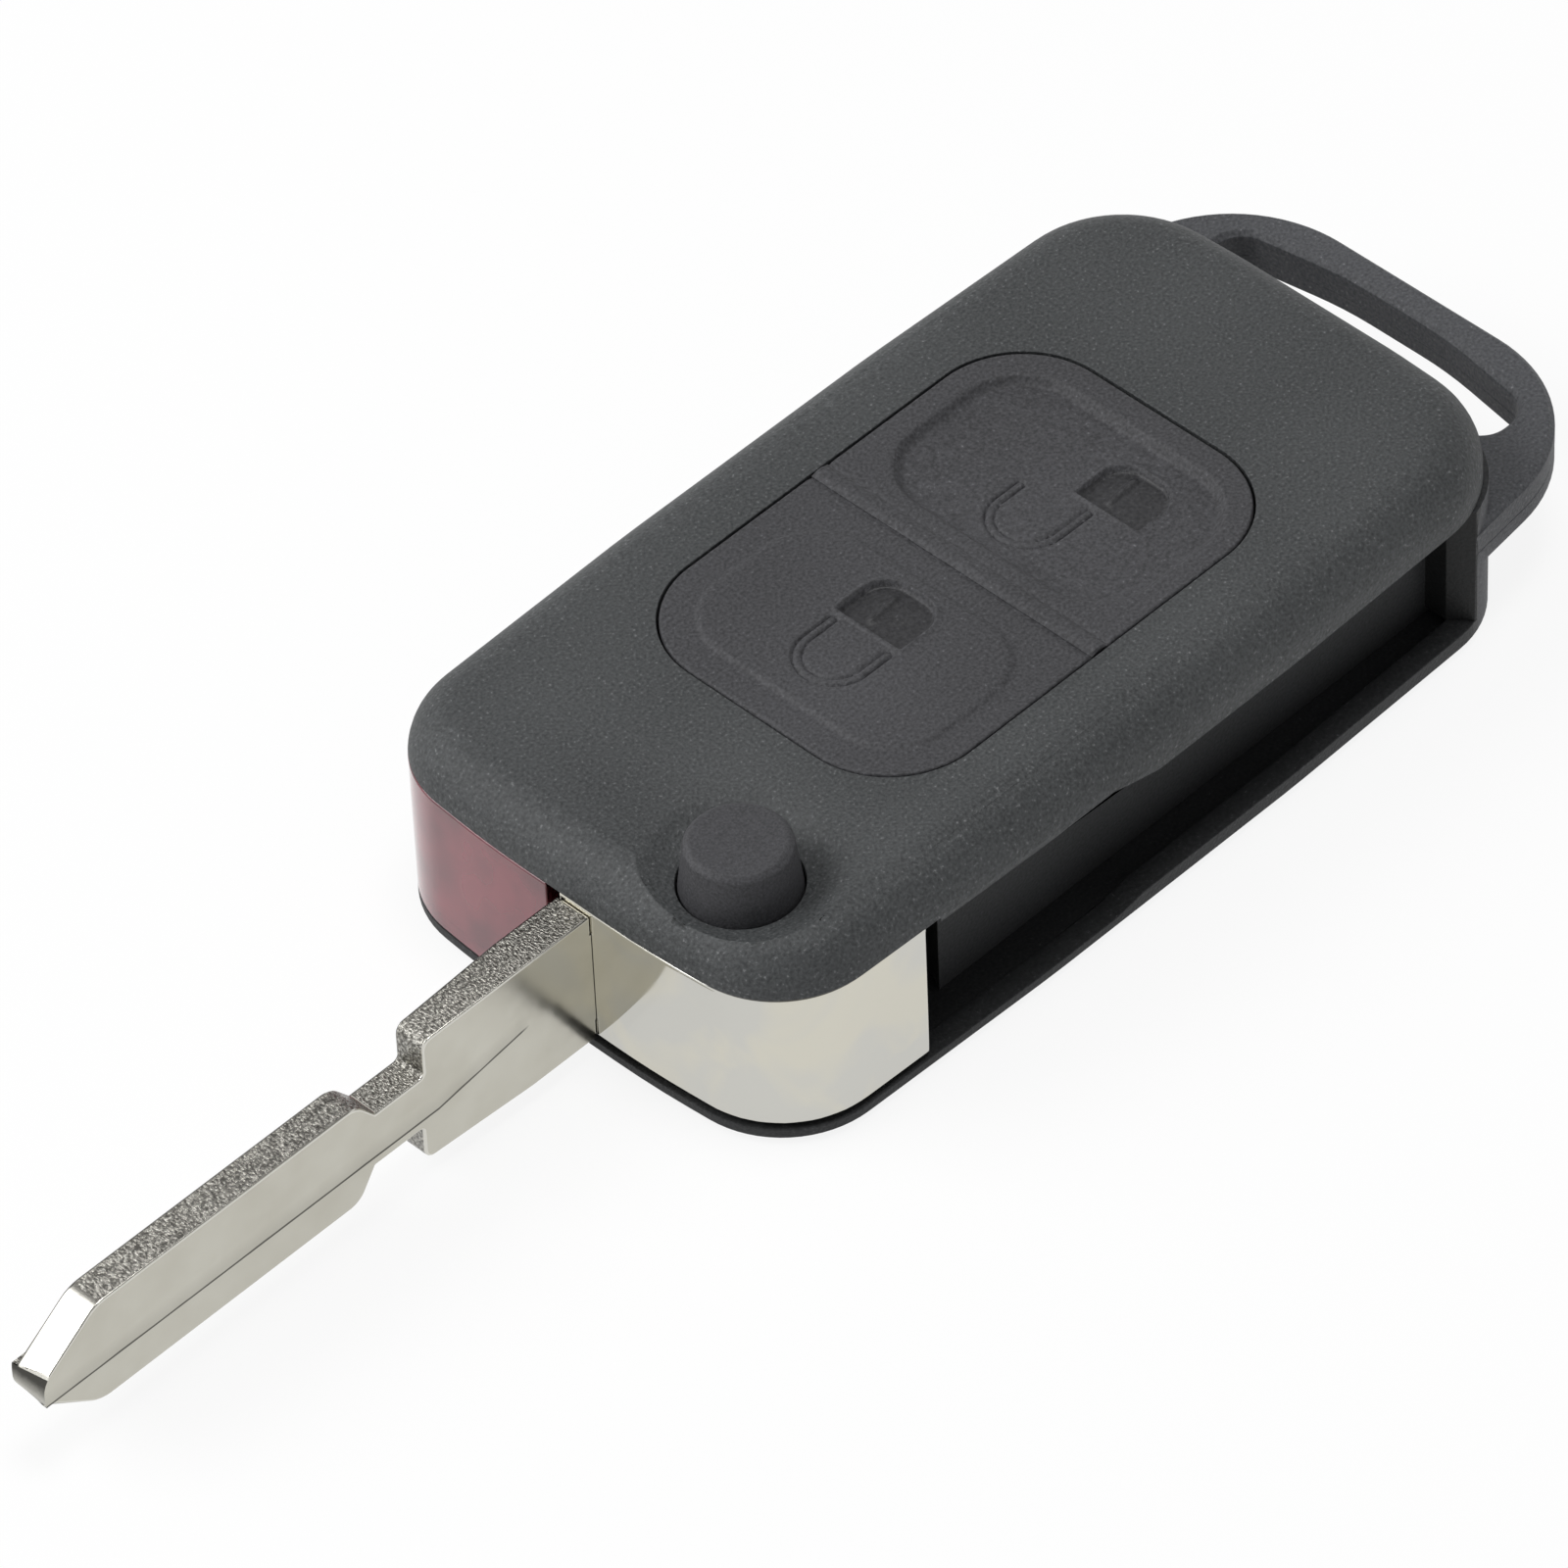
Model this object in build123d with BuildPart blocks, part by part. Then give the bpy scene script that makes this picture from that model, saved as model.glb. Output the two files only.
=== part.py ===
"""Flip key remote shell: moulded body, sprung chrome head with a folding blade, and a rubber key pad.

Frame: +X runs from the blade's tip to the key-ring loop, -Y is the side with the blade channel,
+Z points up through the keys. The origin is on the bottom face, at the middle of the body.
"""
import os

from build123d import *

os.makedirs("parts", exist_ok=True)

# Body, seen from above
body_length = 62.0
body_width = 33.5
body_height = 14.2
side_bulge = 0.6
side_run = 10.0
side_bow_radius = 200.0
end_flank = 10.75
end_bow_radius = 70.0
front_bulge = 0.8
rear_bulge = 0.5
front_corner_radius = 6.6
rear_corner_radius = 6.6
shell_rear_radius = 7.6

# Walls and parting levels
shell_wall = 1.4
roof_thickness = 1.5
frame_wall = 1.5
floor_thickness = 1.0
bottom_edge = 0.5
shoulder_radius = 3.15
side_rim_depth = 4.1
channel_rim_depth = 3.2
front_rim_depth = 2.9
high_lip = 1.5
low_lip = 1.1
front_lip_length = 28.0
lip_slope = 1.8
weld = 0.2
seam_gap = 0.05

# Pivot, head and its turning room
pivot_setback = 6.0
pivot_inset = 8.95
head_lower_gap = 0.2
head_upper_gap = 0.1
head_setback = 0.12
head_edge_radius = 0.5
head_edge = 0.2
head_floor = 1.9
swing_clearance = 0.125
wall_clearance = 0.12

# Blade
blade_thickness = 2.5
blade_side_inset = 0.58
blade_gap = 0.03
blade_tip_room = 2.39
rear_section_length = 12.9
rear_section_rise = 0.05
rear_section_drop = 0.35
front_section_height = 7.85
front_section_drop = 0.18
notch_length = 3.7
notch_web = 4.3
shoulder_run = 1.3
tip_run = 4.1
tip_height = 1.7
track_depth = 0.35
track_below_middle = 0.9
track_rise = 1.1
track_runout = 7.0
track_end_inset = 5.0
tang_length = 8.6
tang_height = 6.8
tang_clearance = 0.04
notch_rounding = 0.35

# Roll pin through head and tang
blade_pin_radius = 0.8
blade_pin_bore = 0.42
blade_pin_slit = 0.3
blade_pin_inset = 4.4
blade_pin_length = 4.2

# Spindle and springs inside the head
spindle_radius = 1.9
spindle_neck_radius = 1.4
spindle_seat_depth = 0.6
spindle_collar = 1.1
spindle_headroom = 2.4
spindle_clearance = 0.05
spindle_slot = 0.8
spindle_edge = 0.3
chamber_radius = 3.7
flip_spring_radius = 3.05
flip_spring_wire = 0.6
flip_spring_headroom = 0.7
flip_spring_turns = 2.5
spring_leg_reach = 0.9
spring_leg_room = 0.4
button_spring_radius = 1.95
button_spring_wire = 0.4
button_spring_turns = 3
washer_radius = 2.45
washer_thickness = 0.25

# Release button and its toothed wheel
button_top_radius = 3.05
button_radius = 3.5
button_rise = 2.3
button_skirt_depth = 1.4
button_dish = 0.12
button_edge = 0.3
button_bore_radius = 2.35
button_roof = 1.5
button_travel = 1.2
button_clearance = 0.1
neck_radius = 2.9
cog_radius = 3.85
cog_tooth_height = 0.92
cog_tooth_width = 1.1
cog_teeth = 6
cog_thickness = 1.0
cog_clearance = 0.08
guide_wall = 1.0
guide_clearance = 0.2
dish_radius = 5.8
dish_depth = 1.6

# Key pad
pad_centre_x = 0.4
pad_length = 32.9
pad_width = 21.8
pad_corner_radius = 6.0
pad_gap = 0.2
ridge_x = 0.5
ridge_width = 0.7
ridge_gap = 0.12
ridge_drop = 0.05
key_thickness = 1.7
key_travel = 0.4
key_spare = 0.15
key_face_inset = 2.0
key_face_radius = 4.2
key_face_step = 0.3
key_face_run = 0.25
web_thickness = 0.6
web_flange = 1.1
flange_top_gap = 0.05
plunger_width = 2.8
plunger_clearance = 0.1
plunger_reach = 3.9
lock_plunger_x = -7.0
unlock_plunger_x = 8.3

# Infrared window
lens_thickness = 1.7
lens_flank = 3.6
lens_gap = 0.06

# Middle frame
channel_clearance = 0.47
channel_end_inset = 6.2
channel_wall = 1.2
arc_wall = 1.1
deck_bottom = 5.4
deck_thickness = 1.0
cell_x = 3.0
cell_y = 1.2
cell_radius = 10.3
cell_ring_wall = 0.9
cell_ring_bottom = 1.9
support_length = 24.0
support_width = 1.0
support_inset = 0.7

# Key-ring loop, in two layers
loop_reach = 8.05
loop_side_inset = 0.7
loop_end_inset = 2.15
loop_corner_radius = 9.4
loop_top = 8.4
loop_split = 6.6
loop_bottom = 5.2
loop_edge = 0.35
slot_gap = 0.8
slot_width = 5.2
slot_bulge = 1.2
slot_run = 4.0
slot_bow_radius = 25.0
slot_side_inset = 5.45
slot_corner_radius = 1.9
post_inset = 5.0

# Screws and snap hooks
rear_screw_setback = 7.0
rear_screw_far_inset = 8.15
rear_screw_near_inset = 9.55
front_screw_setback = 11.4
front_screw_inset = 5.35
screw_radius = 1.0
screw_head_radius = 1.9
screw_head_height = 1.2
screw_length = 5.6
screw_hole_spare = 0.3
screw_clearance = 0.15
screw_recess = 1.8
boss_radius = 2.3
hook_places = [-8.0, 12.0]
hook_width = 3.2
hook_thickness = 0.8
hook_top = 4.4
hook_barb = 0.35
hook_clearance = 0.1

# Battery contacts
contact_thickness = 0.25
contact_width = 3.0
contact_spring = 1.0
contact_rise = 0.6

half_length = body_length / 2
half_width = body_width / 2
end_run = half_width - end_flank
side_rim = body_height - side_rim_depth
channel_rim = body_height - channel_rim_depth
front_rim = body_height - front_rim_depth
roof_underside = body_height - roof_thickness
front_lip_x = front_lip_length - half_length
post_x = half_length - post_inset
deck_top = deck_bottom + deck_thickness
boss_bottom = deck_top + seam_gap
lens_end_x = lens_flank - half_length

pivot_x = pivot_setback - half_length
pivot_y = pivot_inset - half_width
pivot_axis = Axis((pivot_x, pivot_y, 0), (0, 0, 1))
swing_radius = (pivot_setback ** 2 + pivot_inset ** 2) ** 0.5 + swing_clearance
head_bottom = low_lip + head_lower_gap
head_top = front_rim - head_upper_gap
head_rear_x = pivot_x + pivot_setback
head_far_y = pivot_y + pivot_inset
chamber_floor = head_bottom + head_floor

channel_end_x = half_length - channel_end_inset
blade_y = head_far_y - blade_side_inset - blade_thickness / 2
blade_near_y = blade_y - blade_thickness / 2
folded_blade_y = 2 * pivot_y - blade_y
channel_back_y = folded_blade_y + blade_thickness / 2 + channel_clearance
blade_root_x = -half_length + head_setback - blade_gap
blade_tip_x = 2 * pivot_x - channel_end_x + blade_tip_room
rear_section_bottom = head_bottom + rear_section_rise
rear_section_top = head_top - rear_section_drop
rear_section_middle = (rear_section_bottom + rear_section_top) / 2
rear_section_front = blade_root_x - rear_section_length
front_section_end = rear_section_front - notch_length - shoulder_run
front_section_middle = rear_section_middle - front_section_drop
track_line = front_section_middle - track_below_middle
track_end_x = blade_root_x - track_end_inset
track_bend_x = track_end_x - track_runout
track_end_z = track_line + track_rise
blade_axis = Axis((0, blade_y, front_section_middle), (1, 0, 0))
blade_pin_x = blade_root_x + blade_pin_inset

cog_top = head_top
cog_bottom = cog_top - cog_thickness
button_top = body_height + button_rise
button_skirt = body_height - button_skirt_depth
guide_bottom = front_rim + guide_clearance
spindle_shoulder = chamber_floor + spindle_collar
spindle_top = button_top - button_roof - spindle_headroom
flip_leg_z = cog_bottom - button_travel - flip_spring_headroom

key_bottom = body_height - key_thickness
web_top = key_bottom - key_travel - key_spare
ridge_top = body_height - ridge_drop
plunger_bottom = body_height - plunger_reach
support_y = pad_width / 2 - support_inset
plus_tab_x = cell_x + cell_radius - contact_thickness

loop_tip_x = half_length + loop_reach
loop_half_width = half_width - loop_side_inset
loop_end_half_width = half_width - loop_end_inset
slot_near_x = half_length + slot_gap
slot_far_x = slot_near_x + slot_width
slot_half_length = half_width - slot_side_inset
screw_places = [(half_length - rear_screw_setback, half_width - rear_screw_far_inset),
                (half_length - rear_screw_setback, rear_screw_near_inset - half_width),
                (front_screw_setback - half_length, half_width - front_screw_inset)]


def side_y(x):
    """Half width of the body at one station along its length."""
    bowed_share = max(0.0, abs(x) - side_run) / (half_length - side_run)
    return half_width - side_bulge * bowed_share


def blade_profile():
    """Side view of the blade from tang to tip, as corner points in X and Z."""
    front_top = front_section_middle + front_section_height / 2
    front_bottom = front_section_middle - front_section_height / 2
    web_top_z = rear_section_middle + notch_web / 2
    web_bottom_z = rear_section_middle - notch_web / 2
    notch_front = rear_section_front - notch_length
    tang_end = blade_root_x + tang_length
    tang_top = rear_section_middle + tang_height / 2
    tang_bottom = rear_section_middle - tang_height / 2
    tip_top = front_section_middle + tip_height / 2
    tip_bottom = front_section_middle - tip_height / 2
    return [(tang_end, tang_bottom), (tang_end, tang_top), (blade_root_x, tang_top),
            (blade_root_x, rear_section_top), (rear_section_front, rear_section_top),
            (rear_section_front, web_top_z), (notch_front, web_top_z), (front_section_end, front_top),
            (blade_tip_x + tip_run, front_top), (blade_tip_x, tip_top), (blade_tip_x, tip_bottom),
            (blade_tip_x + tip_run, front_bottom), (front_section_end, front_bottom),
            (notch_front, web_bottom_z), (rear_section_front, web_bottom_z),
            (rear_section_front, rear_section_bottom), (blade_root_x, rear_section_bottom),
            (blade_root_x, tang_bottom)]


def cog_plan(clearance):
    """Toothed outline of the cog, or of the recess it slides in."""
    with BuildSketch() as plan:
        with Locations((pivot_x, pivot_y)):
            Circle(cog_radius + clearance)
            with PolarLocations(cog_radius, cog_teeth):
                Rectangle(2 * (cog_tooth_height + clearance), cog_tooth_width + 2 * clearance)
    return plan.sketch


def body_outline(rear_radius, inset=0.0):
    """Plan of the body: sides and ends bowed in three runs each, with rounded corners."""
    front_x = -half_length + front_bulge
    rear_x = half_length - rear_bulge
    side_ends_y = half_width - side_bulge
    with BuildSketch() as outline:
        with BuildLine():
            Polyline((front_x, -side_ends_y), (-side_run, -half_width), (side_run, -half_width),
                     (rear_x, -side_ends_y), (half_length, -end_run), (half_length, end_run),
                     (rear_x, side_ends_y), (side_run, half_width), (-side_run, half_width),
                     (front_x, side_ends_y), (-half_length, end_run), (-half_length, -end_run), close=True)
        make_face()
        bows = outline.vertices().filter_by(lambda point: abs(point.X) <= side_run)
        fillet(bows, side_bow_radius)
        bows = outline.vertices().filter_by(lambda point: abs(point.Y) <= end_run)
        fillet(bows, end_bow_radius)
        corners = outline.vertices().filter_by(lambda point: abs(abs(point.Y) - side_ends_y) < seam_gap)
        fillet(corners.sort_by(Axis.X)[:2], front_corner_radius)
        corners = outline.vertices().filter_by(lambda point: abs(abs(point.Y) - side_ends_y) < seam_gap)
        fillet(corners.sort_by(Axis.X)[-2:], rear_radius)
        if inset:
            offset(amount=-inset)
    return outline.sketch


def zone(low_x, high_x, low_y, high_y):
    """Plain rectangle between two corners, for trimming one region of a moulding."""
    with BuildSketch() as area:
        with Locations(((low_x + high_x) / 2, (low_y + high_y) / 2)):
            Rectangle(high_x - low_x, high_y - low_y)
    return area.sketch


def sloped_zone(low_z, high_z, slope):
    """Front part of the near side, seen from that side, with a sloped end at the lip's step."""
    with BuildSketch() as area:
        with BuildLine():
            Polyline((-body_length, low_z), (front_lip_x - slope, low_z), (front_lip_x + slope, high_z),
                     (-body_length, high_z), close=True)
        make_face()
    return area.sketch


def swing_circle(radius):
    """Room that the head sweeps as it turns about the pivot."""
    with BuildSketch() as circle:
        with Locations((pivot_x, pivot_y)):
            Circle(radius)
    return circle.sketch


def inner_wall():
    """Wall behind the head's swing and behind the blade channel, seen from above."""
    with BuildSketch() as wall:
        add(swing_circle(swing_radius + wall_clearance + arc_wall))
        add(zone(pivot_x, post_x, channel_back_y, channel_back_y + channel_wall))
        add(body_outline(rear_corner_radius, lens_thickness + lens_gap), mode=Mode.INTERSECT)
        add(swing_circle(swing_radius + wall_clearance), mode=Mode.SUBTRACT)
        add(zone(-body_length, channel_end_x, -body_width, channel_back_y), mode=Mode.SUBTRACT)
    return wall.sketch


def head_plan():
    """Corner of the body that fits its own half-turn copy, so the head is flush open and folded."""
    corner = body_outline(rear_corner_radius, head_setback)
    with BuildSketch() as plan:
        add(corner)
        add(corner.rotate(pivot_axis, 180), mode=Mode.INTERSECT)
        blade_corner = plan.vertices().sort_by_distance((-half_length, head_far_y))[0]
        tail_corner = plan.vertices().sort_by_distance((head_rear_x, -half_width))[0]
        fillet([blade_corner, tail_corner], head_edge_radius)
    return plan.sketch


def pad_plan(inset, corner_radius):
    """Outline of the key pad, or of a ring inside or outside it."""
    with BuildSketch() as plan:
        with Locations((pad_centre_x, 0)):
            RectangleRounded(pad_length - 2 * inset, pad_width - 2 * inset, corner_radius)
    return plan.sketch


def loop_plan():
    """Key-ring loop from above with its long slot, still joined to the body."""
    with BuildSketch() as plan:
        with BuildLine():
            Polyline((post_x, -loop_half_width), (loop_tip_x, -loop_end_half_width),
                     (loop_tip_x, loop_end_half_width), (post_x, loop_half_width), close=True)
        make_face()
        fillet(plan.vertices().group_by(Axis.X)[-1], loop_corner_radius)
        add(slot_plan(), mode=Mode.SUBTRACT)
    return plan.sketch


def slot_plan():
    """Slot of the key-ring loop, with its far side bowed in three runs."""
    with BuildSketch() as slot:
        with BuildLine():
            Polyline((slot_near_x, -slot_half_length), (slot_far_x - slot_bulge, -slot_half_length),
                     (slot_far_x, -slot_run), (slot_far_x, slot_run),
                     (slot_far_x - slot_bulge, slot_half_length), (slot_near_x, slot_half_length), close=True)
        make_face()
        bows = slot.vertices().filter_by(lambda point: abs(point.Y) == slot_run)
        fillet(bows, slot_bow_radius)
        corners = slot.vertices().filter_by(lambda point: abs(point.Y) == slot_half_length)
        fillet(corners, slot_corner_radius)
    return slot.sketch


# Upper shell: moulded lid with rounded shoulders, hollow from below
with BuildPart() as upper_shell:
    with BuildSketch(Plane.XY.offset(side_rim)):
        add(body_outline(shell_rear_radius))
    extrude(amount=body_height - side_rim)
    fillet(upper_shell.faces().sort_by(Axis.Z)[-1].edges(), shoulder_radius)
    with BuildSketch(Plane.XY.offset(side_rim)):
        add(body_outline(shell_rear_radius, shell_wall))
    extrude(amount=roof_underside - side_rim, mode=Mode.SUBTRACT)
    # Rim steps up over the blade channel, and again over the head and the window
    with BuildSketch(Plane.XZ.offset(-channel_back_y)):
        add(sloped_zone(side_rim, channel_rim, -lip_slope))
    extrude(amount=body_width, mode=Mode.SUBTRACT)
    with BuildSketch(Plane.XY.offset(side_rim)):
        add(zone(-body_length, head_rear_x, -body_width, head_far_y))
        add(zone(-body_length, lens_end_x, 0, body_width))
        add(swing_circle(swing_radius))
    extrude(amount=front_rim - side_rim, mode=Mode.SUBTRACT)
    # Rib that meets the frame's inner wall and closes the inside off
    with BuildSketch(Plane.XY.offset(channel_rim)):
        add(inner_wall())
        add(pad_plan(-web_flange - wall_clearance, pad_corner_radius + web_flange), mode=Mode.SUBTRACT)
    extrude(amount=roof_underside - channel_rim + weld)
    # Guide for the release button, and the dish around its hole
    with BuildSketch(Plane.XY.offset(guide_bottom)):
        with Locations((pivot_x, pivot_y)):
            Circle(button_radius + button_clearance + guide_wall)
    extrude(amount=roof_underside - guide_bottom + weld)
    dish_sphere = (dish_radius ** 2 + dish_depth ** 2) / (2 * dish_depth)
    with Locations((pivot_x, pivot_y, body_height - dish_depth + dish_sphere)):
        Sphere(dish_sphere, mode=Mode.SUBTRACT)
    with BuildSketch(Plane.XY.offset(guide_bottom)):
        add(swing_circle(button_radius + button_clearance))
    extrude(amount=body_height, mode=Mode.SUBTRACT)
    # Opening for the key pad
    with BuildSketch(Plane.XY.offset(side_rim)):
        add(pad_plan(0, pad_corner_radius))
    extrude(amount=body_height, mode=Mode.SUBTRACT)
    # Screw bosses
    with BuildSketch(Plane.XY.offset(boss_bottom)) as boss_plan:
        with Locations(*screw_places):
            Circle(boss_radius)
        add(pad_plan(-web_flange - wall_clearance, pad_corner_radius + web_flange), mode=Mode.SUBTRACT)
    extrude(amount=roof_underside - boss_bottom + weld)
    with BuildSketch(Plane.XY.offset(boss_bottom)):
        with Locations(*screw_places):
            Circle(screw_radius)
    extrude(amount=deck_bottom + screw_length + screw_hole_spare - boss_bottom, mode=Mode.SUBTRACT)

upper_shell.part.label = "upper_shell"
export_step(upper_shell.part, "parts/upper_shell.step")

# Lower cover: thin tray with the lower layer of the loop
with BuildPart() as lower_cover:
    with BuildSketch(Plane.XY.offset(loop_bottom)):
        add(loop_plan())
    extrude(amount=loop_split - loop_bottom)
    chamfer(lower_cover.faces().sort_by(Axis.Z)[0].edges(), loop_edge)
    with BuildSketch():
        add(body_outline(rear_corner_radius))
    extrude(amount=high_lip)
    chamfer(lower_cover.faces().sort_by(Axis.Z)[0].edges(), bottom_edge)
    with BuildSketch(Plane.XY.offset(high_lip)):
        add(body_outline(rear_corner_radius))
        add(zone(post_x, body_length, -body_width, body_width), mode=Mode.INTERSECT)
    extrude(amount=loop_split - high_lip)
    with BuildSketch(Plane.XY.offset(floor_thickness)):
        add(body_outline(rear_corner_radius, frame_wall))
    extrude(amount=loop_split, mode=Mode.SUBTRACT)
    # Lower lip under the blade, the head and the window
    with BuildSketch(Plane.XZ.offset(-channel_back_y)):
        add(sloped_zone(low_lip, high_lip + weld, lip_slope))
    extrude(amount=body_width, mode=Mode.SUBTRACT)
    with BuildSketch(Plane.XY.offset(low_lip)):
        add(zone(-body_length, head_rear_x, -body_width, head_far_y))
        add(zone(-body_length, lens_end_x, 0, body_width))
        add(swing_circle(swing_radius))
    extrude(amount=high_lip, mode=Mode.SUBTRACT)
    # Seat of the pivot spindle
    with BuildSketch(Plane.XY.offset(floor_thickness - spindle_seat_depth)):
        add(swing_circle(spindle_radius))
    extrude(amount=spindle_seat_depth, mode=Mode.SUBTRACT)
    # Snap hooks that catch in the middle frame's wall
    for hook_x in hook_places:
        wall_y = side_y(hook_x) - frame_wall - hook_clearance
        with BuildSketch(Plane.YZ.offset(hook_x)):
            with BuildLine():
                Polyline((wall_y, floor_thickness), (wall_y, hook_top - 2 * hook_barb),
                         (wall_y + hook_barb, hook_top - 2 * hook_barb), (wall_y, hook_top),
                         (wall_y - hook_thickness, hook_top), (wall_y - hook_thickness, floor_thickness),
                         close=True)
            make_face()
        extrude(amount=hook_width / 2, both=True)

lower_cover.part.label = "lower_cover"
export_step(lower_cover.part, "parts/lower_cover.step")

# Middle frame: side wall, blade channel, wall behind the head, deck and the loop's upper layer
with BuildPart() as middle_frame:
    with BuildSketch(Plane.XY.offset(loop_split)):
        add(loop_plan())
    extrude(amount=loop_top - loop_split)
    chamfer(middle_frame.faces().sort_by(Axis.Z)[-1].edges(), loop_edge)
    with BuildSketch(Plane.XY.offset(high_lip)):
        add(body_outline(rear_corner_radius))
        add(zone(-body_length, lens_end_x, -body_width, body_width), mode=Mode.SUBTRACT)
    extrude(amount=side_rim - high_lip)
    with BuildSketch(Plane.XY.offset(high_lip)):
        add(zone(post_x, body_length, -body_width, body_width))
    extrude(amount=loop_split - high_lip, mode=Mode.SUBTRACT)
    with BuildSketch(Plane.XY.offset(high_lip)):
        add(body_outline(rear_corner_radius, frame_wall))
    extrude(amount=side_rim, mode=Mode.SUBTRACT)
    # Back and end of the blade channel, and the wall that follows the head's swing
    with BuildSketch(Plane.XY.offset(floor_thickness)):
        add(inner_wall())
    extrude(amount=channel_rim - seam_gap - floor_thickness)
    with BuildSketch(Plane.XY.offset(high_lip)):
        add(zone(-body_length, channel_end_x, -body_width, channel_back_y))
    extrude(amount=side_rim, mode=Mode.SUBTRACT)
    with BuildSketch(Plane.XY.offset(high_lip)):
        add(body_outline(rear_corner_radius))
        add(zone(channel_end_x, post_x, -body_width, channel_back_y), mode=Mode.INTERSECT)
    extrude(amount=side_rim - high_lip)
    with BuildSketch(Plane.XY.offset(high_lip)):
        with BuildLine():
            Polyline((channel_end_x, -side_y(post_x) + frame_wall), (post_x, -side_y(post_x)),
                     (post_x, -body_width), (channel_end_x, -body_width), close=True)
        make_face()
    extrude(amount=side_rim, mode=Mode.SUBTRACT)
    # Deck between the key side and the cell side, with the ring that holds the cell
    with BuildSketch(Plane.XY.offset(deck_bottom)):
        add(body_outline(rear_corner_radius, frame_wall - weld))
        add(swing_circle(swing_radius + wall_clearance + arc_wall - weld), mode=Mode.SUBTRACT)
        add(zone(-body_length, body_length, -body_width, channel_back_y + weld), mode=Mode.SUBTRACT)
        add(zone(-body_length, lens_end_x, -body_width, body_width), mode=Mode.SUBTRACT)
        add(zone(post_x, body_length, -body_width, body_width), mode=Mode.SUBTRACT)
    extrude(amount=deck_thickness)
    with BuildSketch(Plane.XY.offset(cell_ring_bottom)):
        with Locations((cell_x, cell_y)):
            Circle(cell_radius + cell_ring_wall)
            Circle(cell_radius, mode=Mode.SUBTRACT)
    extrude(amount=deck_bottom - cell_ring_bottom + weld)
    # Ribs under the key pad's flange, and holes for the screws
    with BuildSketch(Plane.XY.offset(deck_top - weld)):
        with Locations((pad_centre_x, support_y), (pad_centre_x, -support_y)):
            Rectangle(support_length, support_width)
    extrude(amount=web_top - web_thickness - flange_top_gap - deck_top + weld)
    with BuildSketch(Plane.XY.offset(deck_bottom)):
        with Locations(*screw_places):
            Circle(screw_radius + screw_clearance)
    extrude(amount=deck_thickness, mode=Mode.SUBTRACT)
    # Windows for the snap hooks
    for hook_x in hook_places:
        wall_y = side_y(hook_x) - frame_wall
        with BuildSketch(Plane.XY.offset(hook_top - 2 * hook_barb - hook_clearance)):
            with Locations((hook_x, wall_y)):
                Rectangle(hook_width + 2 * hook_clearance, 2 * (hook_barb + hook_clearance))
        extrude(amount=2 * hook_barb + hook_clearance, mode=Mode.SUBTRACT)
    # Slot in the deck for the plus contact
    with BuildSketch(Plane.XY.offset(deck_bottom)):
        with Locations((plus_tab_x, cell_y)):
            Rectangle(3 * contact_thickness, contact_width + 2 * wall_clearance)
    extrude(amount=deck_thickness, mode=Mode.SUBTRACT)

middle_frame.part.label = "middle_frame"
export_step(middle_frame.part, "parts/middle_frame.step")

# Infrared window: curved plate in the front corner, cut back for the head's swing
with BuildPart() as ir_lens:
    with BuildSketch(Plane.XY.offset(low_lip + lens_gap)):
        add(body_outline(rear_corner_radius))
        add(body_outline(rear_corner_radius, lens_thickness), mode=Mode.SUBTRACT)
        add(zone(-body_length, lens_end_x - lens_gap, 0, body_width), mode=Mode.INTERSECT)
        add(swing_circle(swing_radius), mode=Mode.SUBTRACT)
    extrude(amount=front_rim - low_lip - 2 * lens_gap)

ir_lens.part.label = "ir_lens"
export_step(ir_lens.part, "parts/ir_lens.step")

# Flip head: die-cast block bored for the springs, with a pocket for the blade's tang
with BuildPart() as flip_head:
    with BuildSketch(Plane.XY.offset(head_bottom)):
        add(head_plan())
    extrude(amount=head_top - head_bottom)
    chamfer(flip_head.faces().sort_by(Axis.Z)[-1].edges(), head_edge)
    chamfer(flip_head.faces().sort_by(Axis.Z)[0].edges(), head_edge)
    with BuildSketch(Plane.XY.offset(chamber_floor)):
        add(swing_circle(chamber_radius))
    extrude(amount=head_top, mode=Mode.SUBTRACT)
    with BuildSketch(Plane.XY.offset(head_bottom)):
        add(swing_circle(spindle_radius + spindle_clearance))
    extrude(amount=head_floor, mode=Mode.SUBTRACT)
    # Toothed recess that the cog slides in
    with BuildSketch(Plane.XY.offset(cog_bottom - button_travel - cog_clearance)):
        add(cog_plan(cog_clearance))
    extrude(amount=head_top, mode=Mode.SUBTRACT)
    # Notch for the flip spring's outer leg
    with BuildSketch(Plane.XY.offset(flip_leg_z - flip_spring_wire / 2 - spring_leg_room)):
        with Locations((pivot_x - chamber_radius, pivot_y)):
            Rectangle(2 * spring_leg_reach, spindle_slot)
    extrude(amount=head_top, mode=Mode.SUBTRACT)
    # Pocket for the tang, and the cross hole for the roll pin
    with BuildSketch(Plane.YZ.offset(-half_length)):
        with Locations((blade_y, rear_section_middle)):
            Rectangle(blade_thickness + 2 * tang_clearance, tang_height + 2 * tang_clearance)
    extrude(amount=tang_length + 2 * head_setback, mode=Mode.SUBTRACT)
    with BuildSketch(Plane.XZ.offset(-head_far_y)):
        with Locations((blade_pin_x, rear_section_middle)):
            Circle(blade_pin_radius + tang_clearance)
    extrude(amount=blade_pin_length + 2 * head_setback, mode=Mode.SUBTRACT)

flip_head.part.label = "flip_head"
export_step(flip_head.part, "parts/flip_head.step")

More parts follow.
